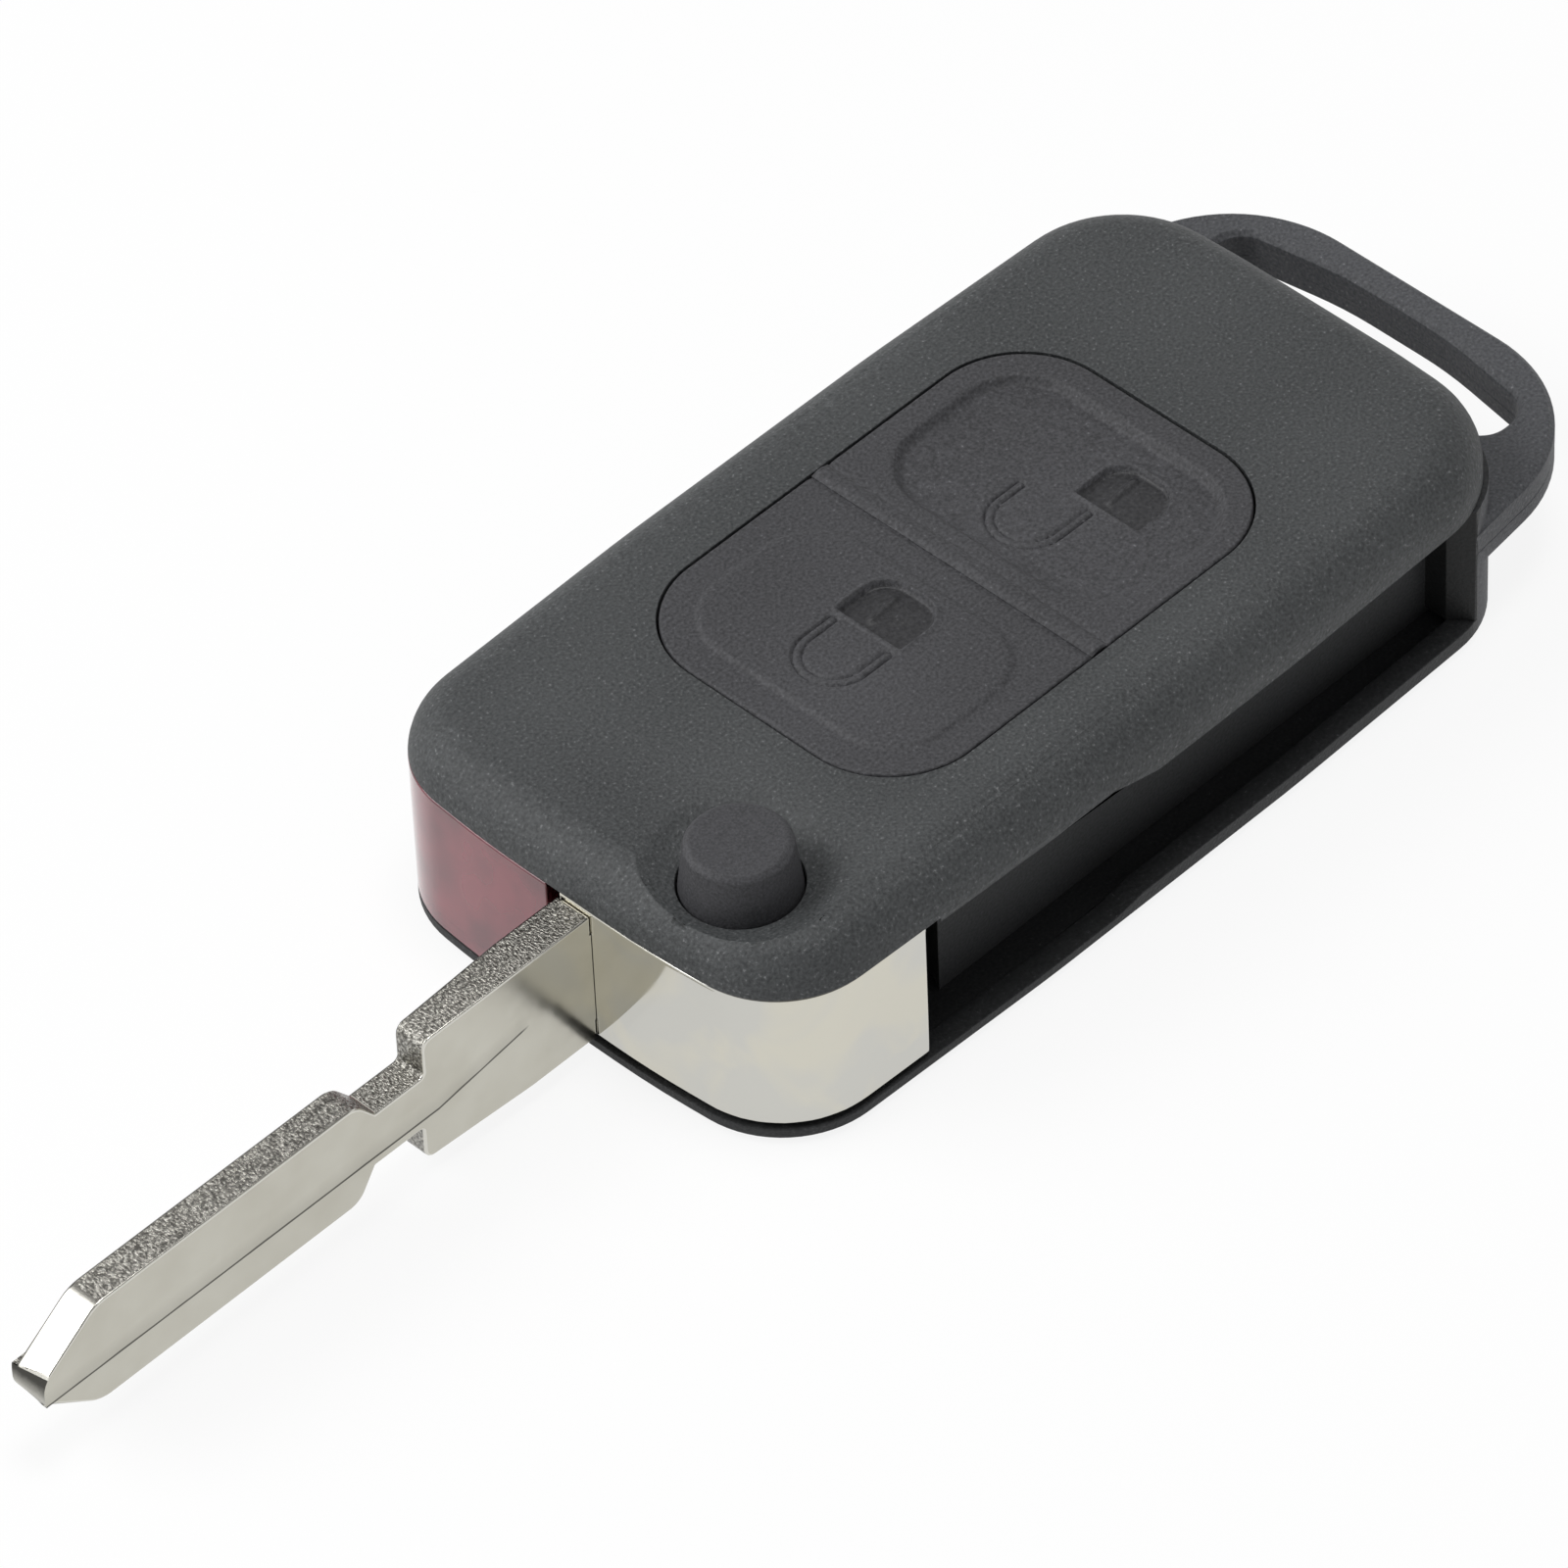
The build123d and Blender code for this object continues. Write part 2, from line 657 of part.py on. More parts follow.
# Milled track of the blade: wedge that runs out, trimmed to the line seen from the side
with BuildPart() as track_cut:
    with BuildSketch():
        with BuildLine():
            Polyline((blade_tip_x - weld, blade_near_y - weld), (blade_tip_x - weld, blade_near_y + track_depth),
                     (track_bend_x, blade_near_y + track_depth), (track_end_x, blade_near_y),
                     (track_end_x, blade_near_y - weld), close=True)
        make_face()
    extrude(amount=body_height)
    with BuildSketch(Plane.XZ.offset(-blade_y)):
        with BuildLine():
            Polyline((blade_tip_x - weld, 0), (blade_tip_x - weld, track_line), (track_bend_x, track_line),
                     (track_end_x, track_end_z), (track_end_x, 0), close=True)
        make_face()
    extrude(amount=blade_thickness, mode=Mode.INTERSECT)

# Key blade: notched flat bar with a chamfered tip and a milled track on each side
with BuildPart() as key_blade:
    with BuildSketch(Plane.XZ.offset(-blade_y)):
        with BuildLine():
            Polyline(*blade_profile(), close=True)
        make_face()
    extrude(amount=blade_thickness / 2, both=True)
    notch_edges = key_blade.edges().filter_by(Axis.Y).filter_by(
        lambda edge: abs(edge.center().X - rear_section_front) < notch_rounding
        and abs(edge.center().Z - rear_section_middle) < notch_web)
    fillet(notch_edges, notch_rounding)
    add(track_cut.part, mode=Mode.SUBTRACT)
    add(track_cut.part.rotate(blade_axis, 180), mode=Mode.SUBTRACT)
    with BuildSketch(Plane.XZ.offset(-blade_y)):
        with Locations((blade_pin_x, rear_section_middle)):
            Circle(blade_pin_radius + tang_clearance)
    extrude(amount=blade_thickness, both=True, mode=Mode.SUBTRACT)

key_blade.part.label = "key_blade"
export_step(key_blade.part, "parts/key_blade.step")

# Roll pin: slit tube through the head and the tang
with BuildPart() as blade_pin:
    with BuildSketch(Plane.XZ.offset(-head_far_y + head_setback)):
        with Locations((blade_pin_x, rear_section_middle)):
            Circle(blade_pin_radius)
            Circle(blade_pin_bore, mode=Mode.SUBTRACT)
        with Locations((blade_pin_x + blade_pin_radius, rear_section_middle)):
            Rectangle(2 * blade_pin_bore, blade_pin_slit, mode=Mode.SUBTRACT)
    extrude(amount=blade_pin_length)

blade_pin.part.label = "blade_pin"
export_step(blade_pin.part, "parts/blade_pin.step")

# Pivot spindle: stepped pin pressed into the lower cover, slotted for the flip spring
with BuildPart() as pivot_spindle:
    spindle_foot = floor_thickness - spindle_seat_depth
    with BuildSketch(Plane.XY.offset(spindle_foot)):
        add(swing_circle(spindle_radius))
    extrude(amount=spindle_shoulder - spindle_foot)
    with BuildSketch(Plane.XY.offset(spindle_shoulder)):
        add(swing_circle(spindle_neck_radius))
    extrude(amount=spindle_top - spindle_shoulder)
    chamfer(pivot_spindle.faces().sort_by(Axis.Z)[-1].edges(), spindle_edge)
    with BuildSketch(Plane.XY.offset(chamber_floor)):
        with Locations((pivot_x, pivot_y)):
            Rectangle(2 * spindle_radius, spindle_slot)
    extrude(amount=spindle_slot, mode=Mode.SUBTRACT)

pivot_spindle.part.label = "pivot_spindle"
export_step(pivot_spindle.part, "parts/pivot_spindle.step")

# Flip spring: square-wire torsion coil with one leg in the spindle's slot and one in the head's notch
with BuildPart() as flip_spring:
    coil_start = chamber_floor + flip_spring_wire / 2 + spindle_clearance
    coil_height = flip_leg_z - coil_start
    with BuildLine(Plane((pivot_x, pivot_y, coil_start))) as flip_coil:
        Helix(coil_height / flip_spring_turns, coil_height, flip_spring_radius)
    with BuildSketch(Plane(flip_coil.line @ 0, z_dir=flip_coil.line % 0)):
        Rectangle(flip_spring_wire, flip_spring_wire)
    sweep(path=flip_coil.line, is_frenet=True)
    with BuildSketch(Plane.YZ.offset(pivot_x)):
        with Locations((pivot_y, coil_start)):
            Rectangle(flip_spring_wire, flip_spring_wire)
    extrude(amount=flip_spring_radius)
    with BuildSketch(Plane.YZ.offset(pivot_x - flip_spring_radius)):
        with Locations((pivot_y, flip_leg_z)):
            Rectangle(flip_spring_wire, flip_spring_wire)
    extrude(amount=-(chamber_radius - flip_spring_radius + spring_leg_reach / 2))

flip_spring.part.label = "flip_spring"
export_step(flip_spring.part, "parts/flip_spring.step")

# Spring washer: seat of the button spring on the spindle's shoulder
with BuildPart() as spring_washer:
    with BuildSketch(Plane.XY.offset(spindle_shoulder)):
        add(swing_circle(washer_radius))
        add(swing_circle(spindle_neck_radius + spindle_clearance), mode=Mode.SUBTRACT)
    extrude(amount=washer_thickness)

spring_washer.part.label = "spring_washer"
export_step(spring_washer.part, "parts/spring_washer.step")

# Button spring: square-wire compression coil between the washer and the button's roof
with BuildPart() as button_spring:
    spring_low = spindle_shoulder + washer_thickness + button_spring_wire / 2 + spindle_clearance
    spring_high = button_top - button_roof - button_spring_wire / 2 - spindle_clearance
    with BuildLine(Plane((pivot_x, pivot_y, spring_low))) as button_coil:
        Helix((spring_high - spring_low) / button_spring_turns, spring_high - spring_low,
              button_spring_radius)
    with BuildSketch(Plane(button_coil.line @ 0, z_dir=button_coil.line % 0)):
        Rectangle(button_spring_wire, button_spring_wire)
    sweep(path=button_coil.line, is_frenet=True)

button_spring.part.label = "button_spring"
export_step(button_spring.part, "parts/button_spring.step")

# Lock cog: toothed ring pressed on the button's neck, sliding in the head's recess
with BuildPart() as lock_cog:
    with BuildSketch(Plane.XY.offset(cog_bottom)):
        add(cog_plan(0))
        add(swing_circle(neck_radius + tang_clearance), mode=Mode.SUBTRACT)
    extrude(amount=cog_thickness)

lock_cog.part.label = "lock_cog"
export_step(lock_cog.part, "parts/lock_cog.step")

# Release button: tapered cap turned about the pivot, hollow for its spring
with BuildPart() as release_button:
    with BuildSketch(Plane.XZ.offset(-pivot_y)):
        with BuildLine():
            Polyline((pivot_x + button_bore_radius, cog_bottom), (pivot_x + neck_radius, cog_bottom),
                     (pivot_x + neck_radius, cog_top), (pivot_x + button_radius, cog_top),
                     (pivot_x + button_radius, button_skirt), (pivot_x + button_top_radius, button_top),
                     (pivot_x, button_top - button_dish), (pivot_x, button_top - button_roof),
                     (pivot_x + button_bore_radius, button_top - button_roof), close=True)
        make_face()
    revolve(axis=pivot_axis)
    chamfer(release_button.edges().group_by(Axis.Z)[-1], button_edge)

release_button.part.label = "release_button"
export_step(release_button.part, "parts/release_button.step")

# Key web: rubber carrier with a clamped flange, the ridge between the keys and two guide holes
with BuildPart() as key_web:
    web_bottom = web_top - web_thickness
    flange_top = roof_underside - flange_top_gap
    with BuildSketch(Plane.XY.offset(web_bottom)):
        add(pad_plan(-web_flange, pad_corner_radius + web_flange))
    extrude(amount=flange_top - web_bottom)
    with BuildSketch(Plane.XY.offset(web_top)):
        add(pad_plan(0, pad_corner_radius))
    extrude(amount=body_height, mode=Mode.SUBTRACT)
    with BuildSketch(Plane.XY.offset(web_top - weld)):
        add(pad_plan(pad_gap, pad_corner_radius - pad_gap))
        add(zone(ridge_x - ridge_width / 2, ridge_x + ridge_width / 2, -body_width, body_width),
            mode=Mode.INTERSECT)
    extrude(amount=ridge_top - web_top + weld)
    with BuildSketch(Plane.XY.offset(web_bottom)):
        with Locations((lock_plunger_x, 0), (unlock_plunger_x, 0)):
            Rectangle(plunger_width + 2 * plunger_clearance, plunger_width + 2 * plunger_clearance)
    extrude(amount=web_thickness, mode=Mode.SUBTRACT)

key_web.part.label = "key_web"
export_step(key_web.part, "parts/key_web.step")


def key_plan(side, inset, ridge_inset):
    """Half of the pad on one side of the ridge: -1 is the front key, 1 the rear key."""
    edge_x = ridge_x + side * (ridge_width / 2 + ridge_gap + ridge_inset)
    with BuildSketch() as plan:
        add(pad_plan(inset, pad_corner_radius - inset))
        if side < 0:
            add(zone(-body_length, edge_x, -body_width, body_width), mode=Mode.INTERSECT)
        else:
            add(zone(edge_x, body_length, -body_width, body_width), mode=Mode.INTERSECT)
        if ridge_inset:
            ridge_corners = plan.vertices().group_by(Axis.X)[-1 if side < 0 else 0]
            fillet(ridge_corners, key_face_radius + key_face_inset - inset)
    return plan.sketch


def key_face(side, step):
    """Bevelled face of one key, raised by a step, or a tool that sinks it where the step is negative."""
    with BuildPart() as face:
        with BuildSketch(Plane.XY.offset(body_height)):
            add(key_plan(side, key_face_inset, key_face_inset))
        with BuildSketch(Plane.XY.offset(body_height + step)):
            add(key_plan(side, key_face_inset + key_face_run, key_face_inset + key_face_run))
        loft()
    return face.part


# Lock key: front key with a slightly raised face and a plunger below
with BuildPart() as lock_key:
    with BuildSketch(Plane.XY.offset(key_bottom)):
        add(key_plan(-1, pad_gap, 0))
    extrude(amount=key_thickness)
    add(key_face(-1, key_face_step))
    with BuildSketch(Plane.XY.offset(plunger_bottom)):
        with Locations((lock_plunger_x, 0)):
            Rectangle(plunger_width, plunger_width)
    extrude(amount=key_bottom - plunger_bottom)

lock_key.part.label = "lock_key"
export_step(lock_key.part, "parts/lock_key.step")

# Unlock key: rear key with a dished face and a plunger below
with BuildPart() as unlock_key:
    with BuildSketch(Plane.XY.offset(key_bottom)):
        add(key_plan(1, pad_gap, 0))
    extrude(amount=key_thickness)
    add(key_face(1, -key_face_step), mode=Mode.SUBTRACT)
    with BuildSketch(Plane.XY.offset(plunger_bottom)):
        with Locations((unlock_plunger_x, 0)):
            Rectangle(plunger_width, plunger_width)
    extrude(amount=key_bottom - plunger_bottom)

unlock_key.part.label = "unlock_key"
export_step(unlock_key.part, "parts/unlock_key.step")

# Case screws: up through the deck into the shell's bosses
with BuildPart() as case_screws:
    with BuildSketch(Plane.XY.offset(deck_bottom - screw_head_height)):
        with Locations(*screw_places):
            Circle(screw_head_radius)
    extrude(amount=screw_head_height)
    with BuildSketch(Plane.XY.offset(deck_bottom)):
        with Locations(*screw_places):
            Circle(screw_radius)
    extrude(amount=screw_length)
    with BuildSketch(Plane.XY.offset(deck_bottom - screw_head_height)):
        with Locations(*screw_places):
            Rectangle(screw_recess, screw_recess / 3)
            Rectangle(screw_recess / 3, screw_recess)
    extrude(amount=screw_head_height / 2, mode=Mode.SUBTRACT)

case_screws.part.label = "case_screws"
export_step(case_screws.part, "parts/case_screws.step")

# Plus contact: strip that stands beside the cell and reaches up through the deck
with BuildPart() as battery_contact_plus:
    with BuildSketch(Plane.XZ.offset(-cell_y)):
        with BuildLine():
            Polyline((plus_tab_x - contact_spring, cell_ring_bottom), (plus_tab_x, deck_bottom - contact_spring),
                     (plus_tab_x, deck_top + contact_rise), (plus_tab_x + contact_width, deck_top + contact_rise))
        trace(line_width=contact_thickness)
    extrude(amount=contact_width / 2, both=True)

battery_contact_plus.part.label = "battery_contact_plus"
export_step(battery_contact_plus.part, "parts/battery_contact_plus.step")

# Minus contact: leaf spring lying on the lower cover's floor under the cell
with BuildPart() as battery_contact_minus:
    with BuildSketch(Plane.XZ.offset(-cell_y)):
        with BuildLine():
            leaf_z = floor_thickness + contact_thickness / 2
            Polyline((cell_x - 2 * contact_width, leaf_z), (cell_x + contact_width / 2, leaf_z),
                     (cell_x + 2 * contact_width, leaf_z + contact_spring),
                     (cell_x + 2.4 * contact_width, leaf_z + contact_spring / 2))
        trace(line_width=contact_thickness)
    extrude(amount=contact_width / 2, both=True)

battery_contact_minus.part.label = "battery_contact_minus"
export_step(battery_contact_minus.part, "parts/battery_contact_minus.step")
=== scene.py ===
from math import cos, exp, hypot, pi, radians, sin, sqrt

import bmesh
import bpy
from mathutils import Matrix, Vector


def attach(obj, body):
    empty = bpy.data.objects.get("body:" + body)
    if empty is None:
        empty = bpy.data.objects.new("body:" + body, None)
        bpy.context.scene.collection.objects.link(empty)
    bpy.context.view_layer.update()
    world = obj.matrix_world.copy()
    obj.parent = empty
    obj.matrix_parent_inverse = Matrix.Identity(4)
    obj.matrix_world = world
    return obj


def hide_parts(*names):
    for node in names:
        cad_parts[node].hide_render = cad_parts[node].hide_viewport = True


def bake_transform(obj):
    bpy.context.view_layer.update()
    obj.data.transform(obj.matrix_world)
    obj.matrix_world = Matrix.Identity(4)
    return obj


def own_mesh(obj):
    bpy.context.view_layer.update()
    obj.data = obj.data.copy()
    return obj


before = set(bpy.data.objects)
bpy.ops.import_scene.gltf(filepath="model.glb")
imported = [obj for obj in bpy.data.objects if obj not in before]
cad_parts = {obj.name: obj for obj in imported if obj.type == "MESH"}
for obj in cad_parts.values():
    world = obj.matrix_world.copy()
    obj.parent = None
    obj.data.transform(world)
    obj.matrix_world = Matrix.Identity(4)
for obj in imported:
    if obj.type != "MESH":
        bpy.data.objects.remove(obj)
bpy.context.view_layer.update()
scene = bpy.context.scene
scene.view_settings.view_transform = "Standard"
mm = 0.001


# Camera: a long lens held high over the blade's side, as the photograph was taken.
# Its place and turn come from fitting the body's edges, so the outlines fall on the photograph's.
view_azimuth, view_elevation, view_roll = -44.05, 45.23, -2.68
view_target = Vector((-14.448, -0.639, 8.0)) * mm
view_distance = 642.7 * mm
focal_in_pixels, frame_in_pixels = 11816.0, 1600.0
azimuth, elevation = radians(view_azimuth), radians(view_elevation)
back = Vector((sin(azimuth) * cos(elevation), -cos(azimuth) * cos(elevation), sin(elevation)))
right = Vector((cos(azimuth), sin(azimuth), 0))
up = back.cross(right)
turn = Matrix((right, up, back)).transposed() @ Matrix.Rotation(radians(view_roll), 3, "Z")
camera_data = bpy.data.cameras.new("photo_camera")
camera_data.lens = camera_data.sensor_width * focal_in_pixels / frame_in_pixels
camera_data.clip_start, camera_data.clip_end = 0.01, 20
camera = bpy.data.objects.new("photo_camera", camera_data)
camera.matrix_world = Matrix.Translation(view_target + back * view_distance) @ turn.to_4x4()
scene.collection.objects.link(camera)
scene.camera = camera


# Ground: a pale card that the key lies on, white to the camera and in the metal's reflections.
# A little of the plain diffuse card is mixed in, so that it keeps the key's shadow.
def linear(hex_colour):
    """sRGB hex colour as linear RGBA."""
    parts = [int(hex_colour[i:i + 2], 16) / 255 for i in (1, 3, 5)]
    return tuple(p / 12.92 if p <= 0.04045 else ((p + 0.055) / 1.055) ** 2.4 for p in parts) + (1.0,)


def add_node(tree, kind, inputs=None, **settings):
    """Adds a node, sets its properties, fills or links its inputs, and gives its first output."""
    made = tree.nodes.new(kind)
    for name, value in settings.items():
        setattr(made, name, value)
    for name, value in (inputs or {}).items():
        if isinstance(value, bpy.types.NodeSocket):
            tree.links.new(value, made.inputs[name])
        else:
            made.inputs[name].default_value = value
    return next((socket for socket in made.outputs if socket.enabled), made)


card_half, white_share = 2.5, 0.88
card_mesh = bpy.data.meshes.new("ground_card")
card_mesh.from_pydata([(x, y, 0) for x, y in ((-card_half, -card_half), (card_half, -card_half),
                                              (card_half, card_half), (-card_half, card_half))],
                      [], [(0, 1, 2, 3)])
card = bpy.data.objects.new("ground_card", card_mesh)
scene.collection.objects.link(card)
card_material = bpy.data.materials.new("matt_white_card")
card_material.use_nodes = True
tree = card_material.node_tree
tree.nodes.clear()
ray = tree.nodes.new("ShaderNodeLightPath").outputs
seen = add_node(tree, "ShaderNodeMath", {0: ray["Is Camera Ray"], 1: ray["Is Glossy Ray"]},
                operation="MAXIMUM")
seen = add_node(tree, "ShaderNodeMath", {0: seen, 1: ray["Is Transmission Ray"]}, operation="MAXIMUM")
share = add_node(tree, "ShaderNodeMath", {0: seen, 1: white_share}, operation="MULTIPLY")
paper = add_node(tree, "ShaderNodeBsdfDiffuse", {"Color": linear("#f8f8f8")})
white = add_node(tree, "ShaderNodeEmission", {"Color": linear("#ffffff"), "Strength": 1.0})
add_node(tree, "ShaderNodeOutputMaterial",
         {"Surface": add_node(tree, "ShaderNodeMixShader", {0: share, 1: paper, 2: white})})
card_mesh.materials.append(card_material)


# Light: a broad softbox behind the blade's far side, a small one overhead, and even grey air.
# Mirror rays see a white wall low down and a dim ceiling above it, as in a studio with white walls.
def softbox(name, place, width, watts):
    """Square area lamp that looks at the key."""
    data = bpy.data.lights.new(name, "AREA")
    data.shape = "SQUARE"
    data.size = width
    data.energy = watts
    lamp = bpy.data.objects.new(name, data)
    lamp.location = place
    lamp.rotation_mode = "QUATERNION"
    lamp.rotation_quaternion = (-Vector(place)).to_track_quat("-Z", "Y")
    scene.collection.objects.link(lamp)


softbox("far_side_softbox", place=(-0.44, 0.41, 0.54), width=0.52, watts=4.12)
softbox("overhead_softbox", place=(0.06, -0.04, 0.90), width=0.30, watts=3.2)
wall_top, ceiling_start = 0.42, 0.62
air_strength, ceiling_strength, wall_strength = 0.30, 0.5, 1.0
world = bpy.data.worlds.new("studio_air")
world.use_nodes = True
scene.world = world
tree = world.node_tree
tree.nodes.clear()
ray = tree.nodes.new("ShaderNodeLightPath").outputs
direction = tree.nodes.new("ShaderNodeTexCoord").outputs["Generated"]
height = add_node(tree, "ShaderNodeSeparateXYZ", {0: direction}).node.outputs["Z"]
wall_share = add_node(tree, "ShaderNodeMapRange", {"Value": height, "From Min": wall_top,
                                                   "From Max": ceiling_start, "To Min": 1.0, "To Max": 0.0})
air = add_node(tree, "ShaderNodeBackground", {"Color": linear("#dcdddf"), "Strength": air_strength})
ceiling = add_node(tree, "ShaderNodeBackground", {"Color": linear("#8a8887"), "Strength": ceiling_strength})
wall = add_node(tree, "ShaderNodeBackground", {"Color": linear("#ffffff"), "Strength": wall_strength})
mirrored = add_node(tree, "ShaderNodeMixShader", {0: wall_share, 1: ceiling, 2: wall})
seen = add_node(tree, "ShaderNodeMath", {0: ray["Is Camera Ray"], 1: ray["Is Transmission Ray"]},
                operation="MAXIMUM")
sky = add_node(tree, "ShaderNodeMixShader", {0: ray["Is Glossy Ray"], 1: air, 2: mirrored})
sky = add_node(tree, "ShaderNodeMixShader", {0: seen, 1: sky, 2: wall})
add_node(tree, "ShaderNodeOutputWorld", {"Surface": sky})


# Upper shell: injection-moulded ABS lid with soft shoulders, a dish round the button and a key opening.
# Its mould is spark eroded, so the charcoal surface is matt with a fine grain; its tiny bright specks are
# painted glints.
def new_finish(name, colour, **sockets):
    """Material with one Principled shader: gives it, its tree, the shader and Object coordinates."""
    made = bpy.data.materials.new(name)
    made.use_nodes = True
    tree = made.node_tree
    shader = tree.nodes["Principled BSDF"]
    shader.inputs["Base Color"].default_value = linear(colour)
    for socket, value in sockets.items():
        shader.inputs[socket.replace("_", " ")].default_value = value
    return made, tree, shader, tree.nodes.new("ShaderNodeTexCoord").outputs["Object"]


def moulded_grain(tree, shader, place, grain_mm, depth_mm, dark, light, painted_glint, painted_glint_from):
    """Fine mould texture: one noise mottles the colour and lifts the surface, and its rare peaks get painted
    glints.
    """
    patch_mm, patch_share, mottle_low, mottle_high, painted_glint_span = 12.0, 0.25, 0.42, 0.83, 0.1
    fine = add_node(tree, "ShaderNodeTexNoise", {"Vector": place, "Scale": 1 / (grain_mm * mm),
                                                 "Detail": 2.0})
    broad = add_node(tree, "ShaderNodeTexNoise", {"Vector": place, "Scale": 1 / (patch_mm * mm),
                                                  "Detail": 1.0})
    mottle = add_node(tree, "ShaderNodeMath", {0: broad, 1: patch_share, 2: fine}, operation="MULTIPLY_ADD")
    mottle = add_node(tree, "ShaderNodeMapRange", {"Value": mottle, "From Min": mottle_low,
                                                   "From Max": mottle_high})
    tone = add_node(tree, "ShaderNodeMix", {0: mottle, 6: linear(dark), 7: linear(light)}, data_type="RGBA")
    # The fine noise's rare peaks get a bright colour: painted glints where light catches the grain.
    painted_glint_mask = add_node(tree, "ShaderNodeMapRange", {"Value": fine, "From Min": painted_glint_from,
                                                 "From Max": painted_glint_from + painted_glint_span})
    tone = add_node(tree, "ShaderNodeMix", {0: painted_glint_mask, 6: tone, 7: linear(painted_glint)}, data_type="RGBA")
    lift = add_node(tree, "ShaderNodeBump", {"Height": fine, "Distance": depth_mm * mm, "Strength": 1.0})
    tree.links.new(tone, shader.inputs["Base Color"])
    tree.links.new(lift, shader.inputs["Normal"])


def dress(node, body, materials, bevel_mm=0.0, segments=2):
    """Copy of a CAD node with merged, smoothed faces and softened edges, which stands for the node."""
    weld_mm, flat_degrees, smooth_degrees = 0.0005, 0.5, 32
    shape = bmesh.new()
    shape.from_mesh(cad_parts[node].data)
    bmesh.ops.remove_doubles(shape, verts=shape.verts, dist=weld_mm * mm)
    bmesh.ops.dissolve_limit(shape, angle_limit=radians(flat_degrees), verts=shape.verts,
                             edges=shape.edges)
    mesh = bpy.data.meshes.new(node + "_surface")
    shape.to_mesh(mesh)
    shape.free()
    if "custom_normal" in mesh.attributes:
        mesh.attributes.remove(mesh.attributes["custom_normal"])
    mesh.shade_smooth()
    mesh.set_sharp_from_angle(angle=radians(smooth_degrees))
    mesh.materials.clear()
    for material in materials:
        mesh.materials.append(material)
    piece = bpy.data.objects.new(node + "_surface", mesh)
    scene.collection.objects.link(piece)
    if bevel_mm:
        bevel = piece.modifiers.new("soft_edges", "BEVEL")
        bevel.width = bevel_mm * mm
        bevel.segments = segments
        bevel.limit_method = "ANGLE"
        bevel.angle_limit = radians(smooth_degrees)
        bevel.harden_normals = True
        bevel.use_clamp_overlap = False
    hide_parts(node)
    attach(piece, body)
    return piece


# The real erosion grain is about 0.05 mm; it is drawn at 0.2 mm, which is as fine as the render shows.
abs_spark_eroded, tree, shader, place = new_finish("abs_spark_eroded", "#404143", Roughness=0.6,
                                                   Specular_IOR_Level=0.4)
grain_mm = 0.2
moulded_grain(tree, shader, place, grain_mm, depth_mm=0.05, dark="#2f3132", light="#4e5051",
              painted_glint="#767778", painted_glint_from=0.66)
shell = dress("upper_shell", "housing", [abs_spark_eroded], 0.06)


# Middle frame: ABS moulding between the halves, with the blade's channel and the loop's upper layer.
# The channel is darker and smoother, and blackest on its end post's outward faces; the loop is matt.
abs_channel, tree, shader, place = new_finish("abs_channel_smooth", "#323334", Roughness=0.55,
                                              Specular_IOR_Level=0.25)
moulded_grain(tree, shader, place, grain_mm, depth_mm=0.03, dark="#292a2b", light="#3b3c3d",
              painted_glint="#49494b", painted_glint_from=0.70)
abs_loop, tree, shader, place = new_finish("abs_loop_matt", "#47484b", Roughness=0.6, Specular_IOR_Level=0.4)
moulded_grain(tree, shader, place, grain_mm, depth_mm=0.04, dark="#3b3c3f", light="#57585b",
              painted_glint="#848487", painted_glint_from=0.68)
abs_post, tree, shader, place = new_finish("abs_post_black", "#1f2020", Roughness=0.5,
                                           Specular_IOR_Level=0.25)
moulded_grain(tree, shader, place, grain_mm, depth_mm=0.03, dark="#191a1a", light="#252626",
              painted_glint="#2e2e2f", painted_glint_from=0.70)
middle = dress("middle_frame", "housing", [abs_channel, abs_loop, abs_post], 0.06)
channel, loop, post = range(3)
loop_start_x = 26.2 * mm
post_start_x, post_end_x, post_y = 24.3 * mm, 29.5 * mm, -12.0 * mm
for face in middle.data.polygons:
    faces_out = face.normal.x + face.normal.y < -0.9 and face.center.y < post_y
    if faces_out and post_start_x < face.center.x < post_end_x:
        face.material_index = post
    else:
        face.material_index = loop if face.center.x > loop_start_x else channel


# Lower cover: thin moulded ABS tray with a lip all round, snap hooks, and the loop's lower layer.
# It has the upper shell's matt grain, a shade darker.
abs_cover, tree, shader, place = new_finish("abs_cover_matt", "#2c2d2e", Roughness=0.58,
                                            Specular_IOR_Level=0.3)
moulded_grain(tree, shader, place, grain_mm, depth_mm=0.04, dark="#242526", light="#353637",
              painted_glint="#58585a", painted_glint_from=0.68)
cover = dress("lower_cover", "housing", [abs_cover, abs_loop], 0.06)
for face in cover.data.polygons:
    if face.center.x > loop_start_x:
        face.material_index = 1


# Infrared window: curved plate of dark red acrylic, polished outside and cloudy inside.
# It lets some light through, so its middle is a dusty red and its bent corner shows a clear glare.
acrylic_red, tree, shader, place = new_finish("acrylic_infrared_red", "#8a4a55", Roughness=0.07, IOR=1.49,
                                              Transmission_Weight=0.3, Coat_Weight=0.45, Coat_Roughness=0.03)
smoke_mm, smoke_low, smoke_high = 3.0, 0.32, 0.68
smoke = add_node(tree, "ShaderNodeTexNoise", {"Vector": place, "Scale": 1 / (smoke_mm * mm), "Detail": 1.0})
smoke = add_node(tree, "ShaderNodeMapRange", {"Value": smoke, "From Min": smoke_low,
                                              "From Max": smoke_high})
red = add_node(tree, "ShaderNodeMix", {0: smoke, 6: linear("#973f4c"), 7: linear("#74323d")},
               data_type="RGBA")
tree.links.new(red, shader.inputs["Base Color"])
window = dress("ir_lens", "housing", [acrylic_red], 0.15, 3)


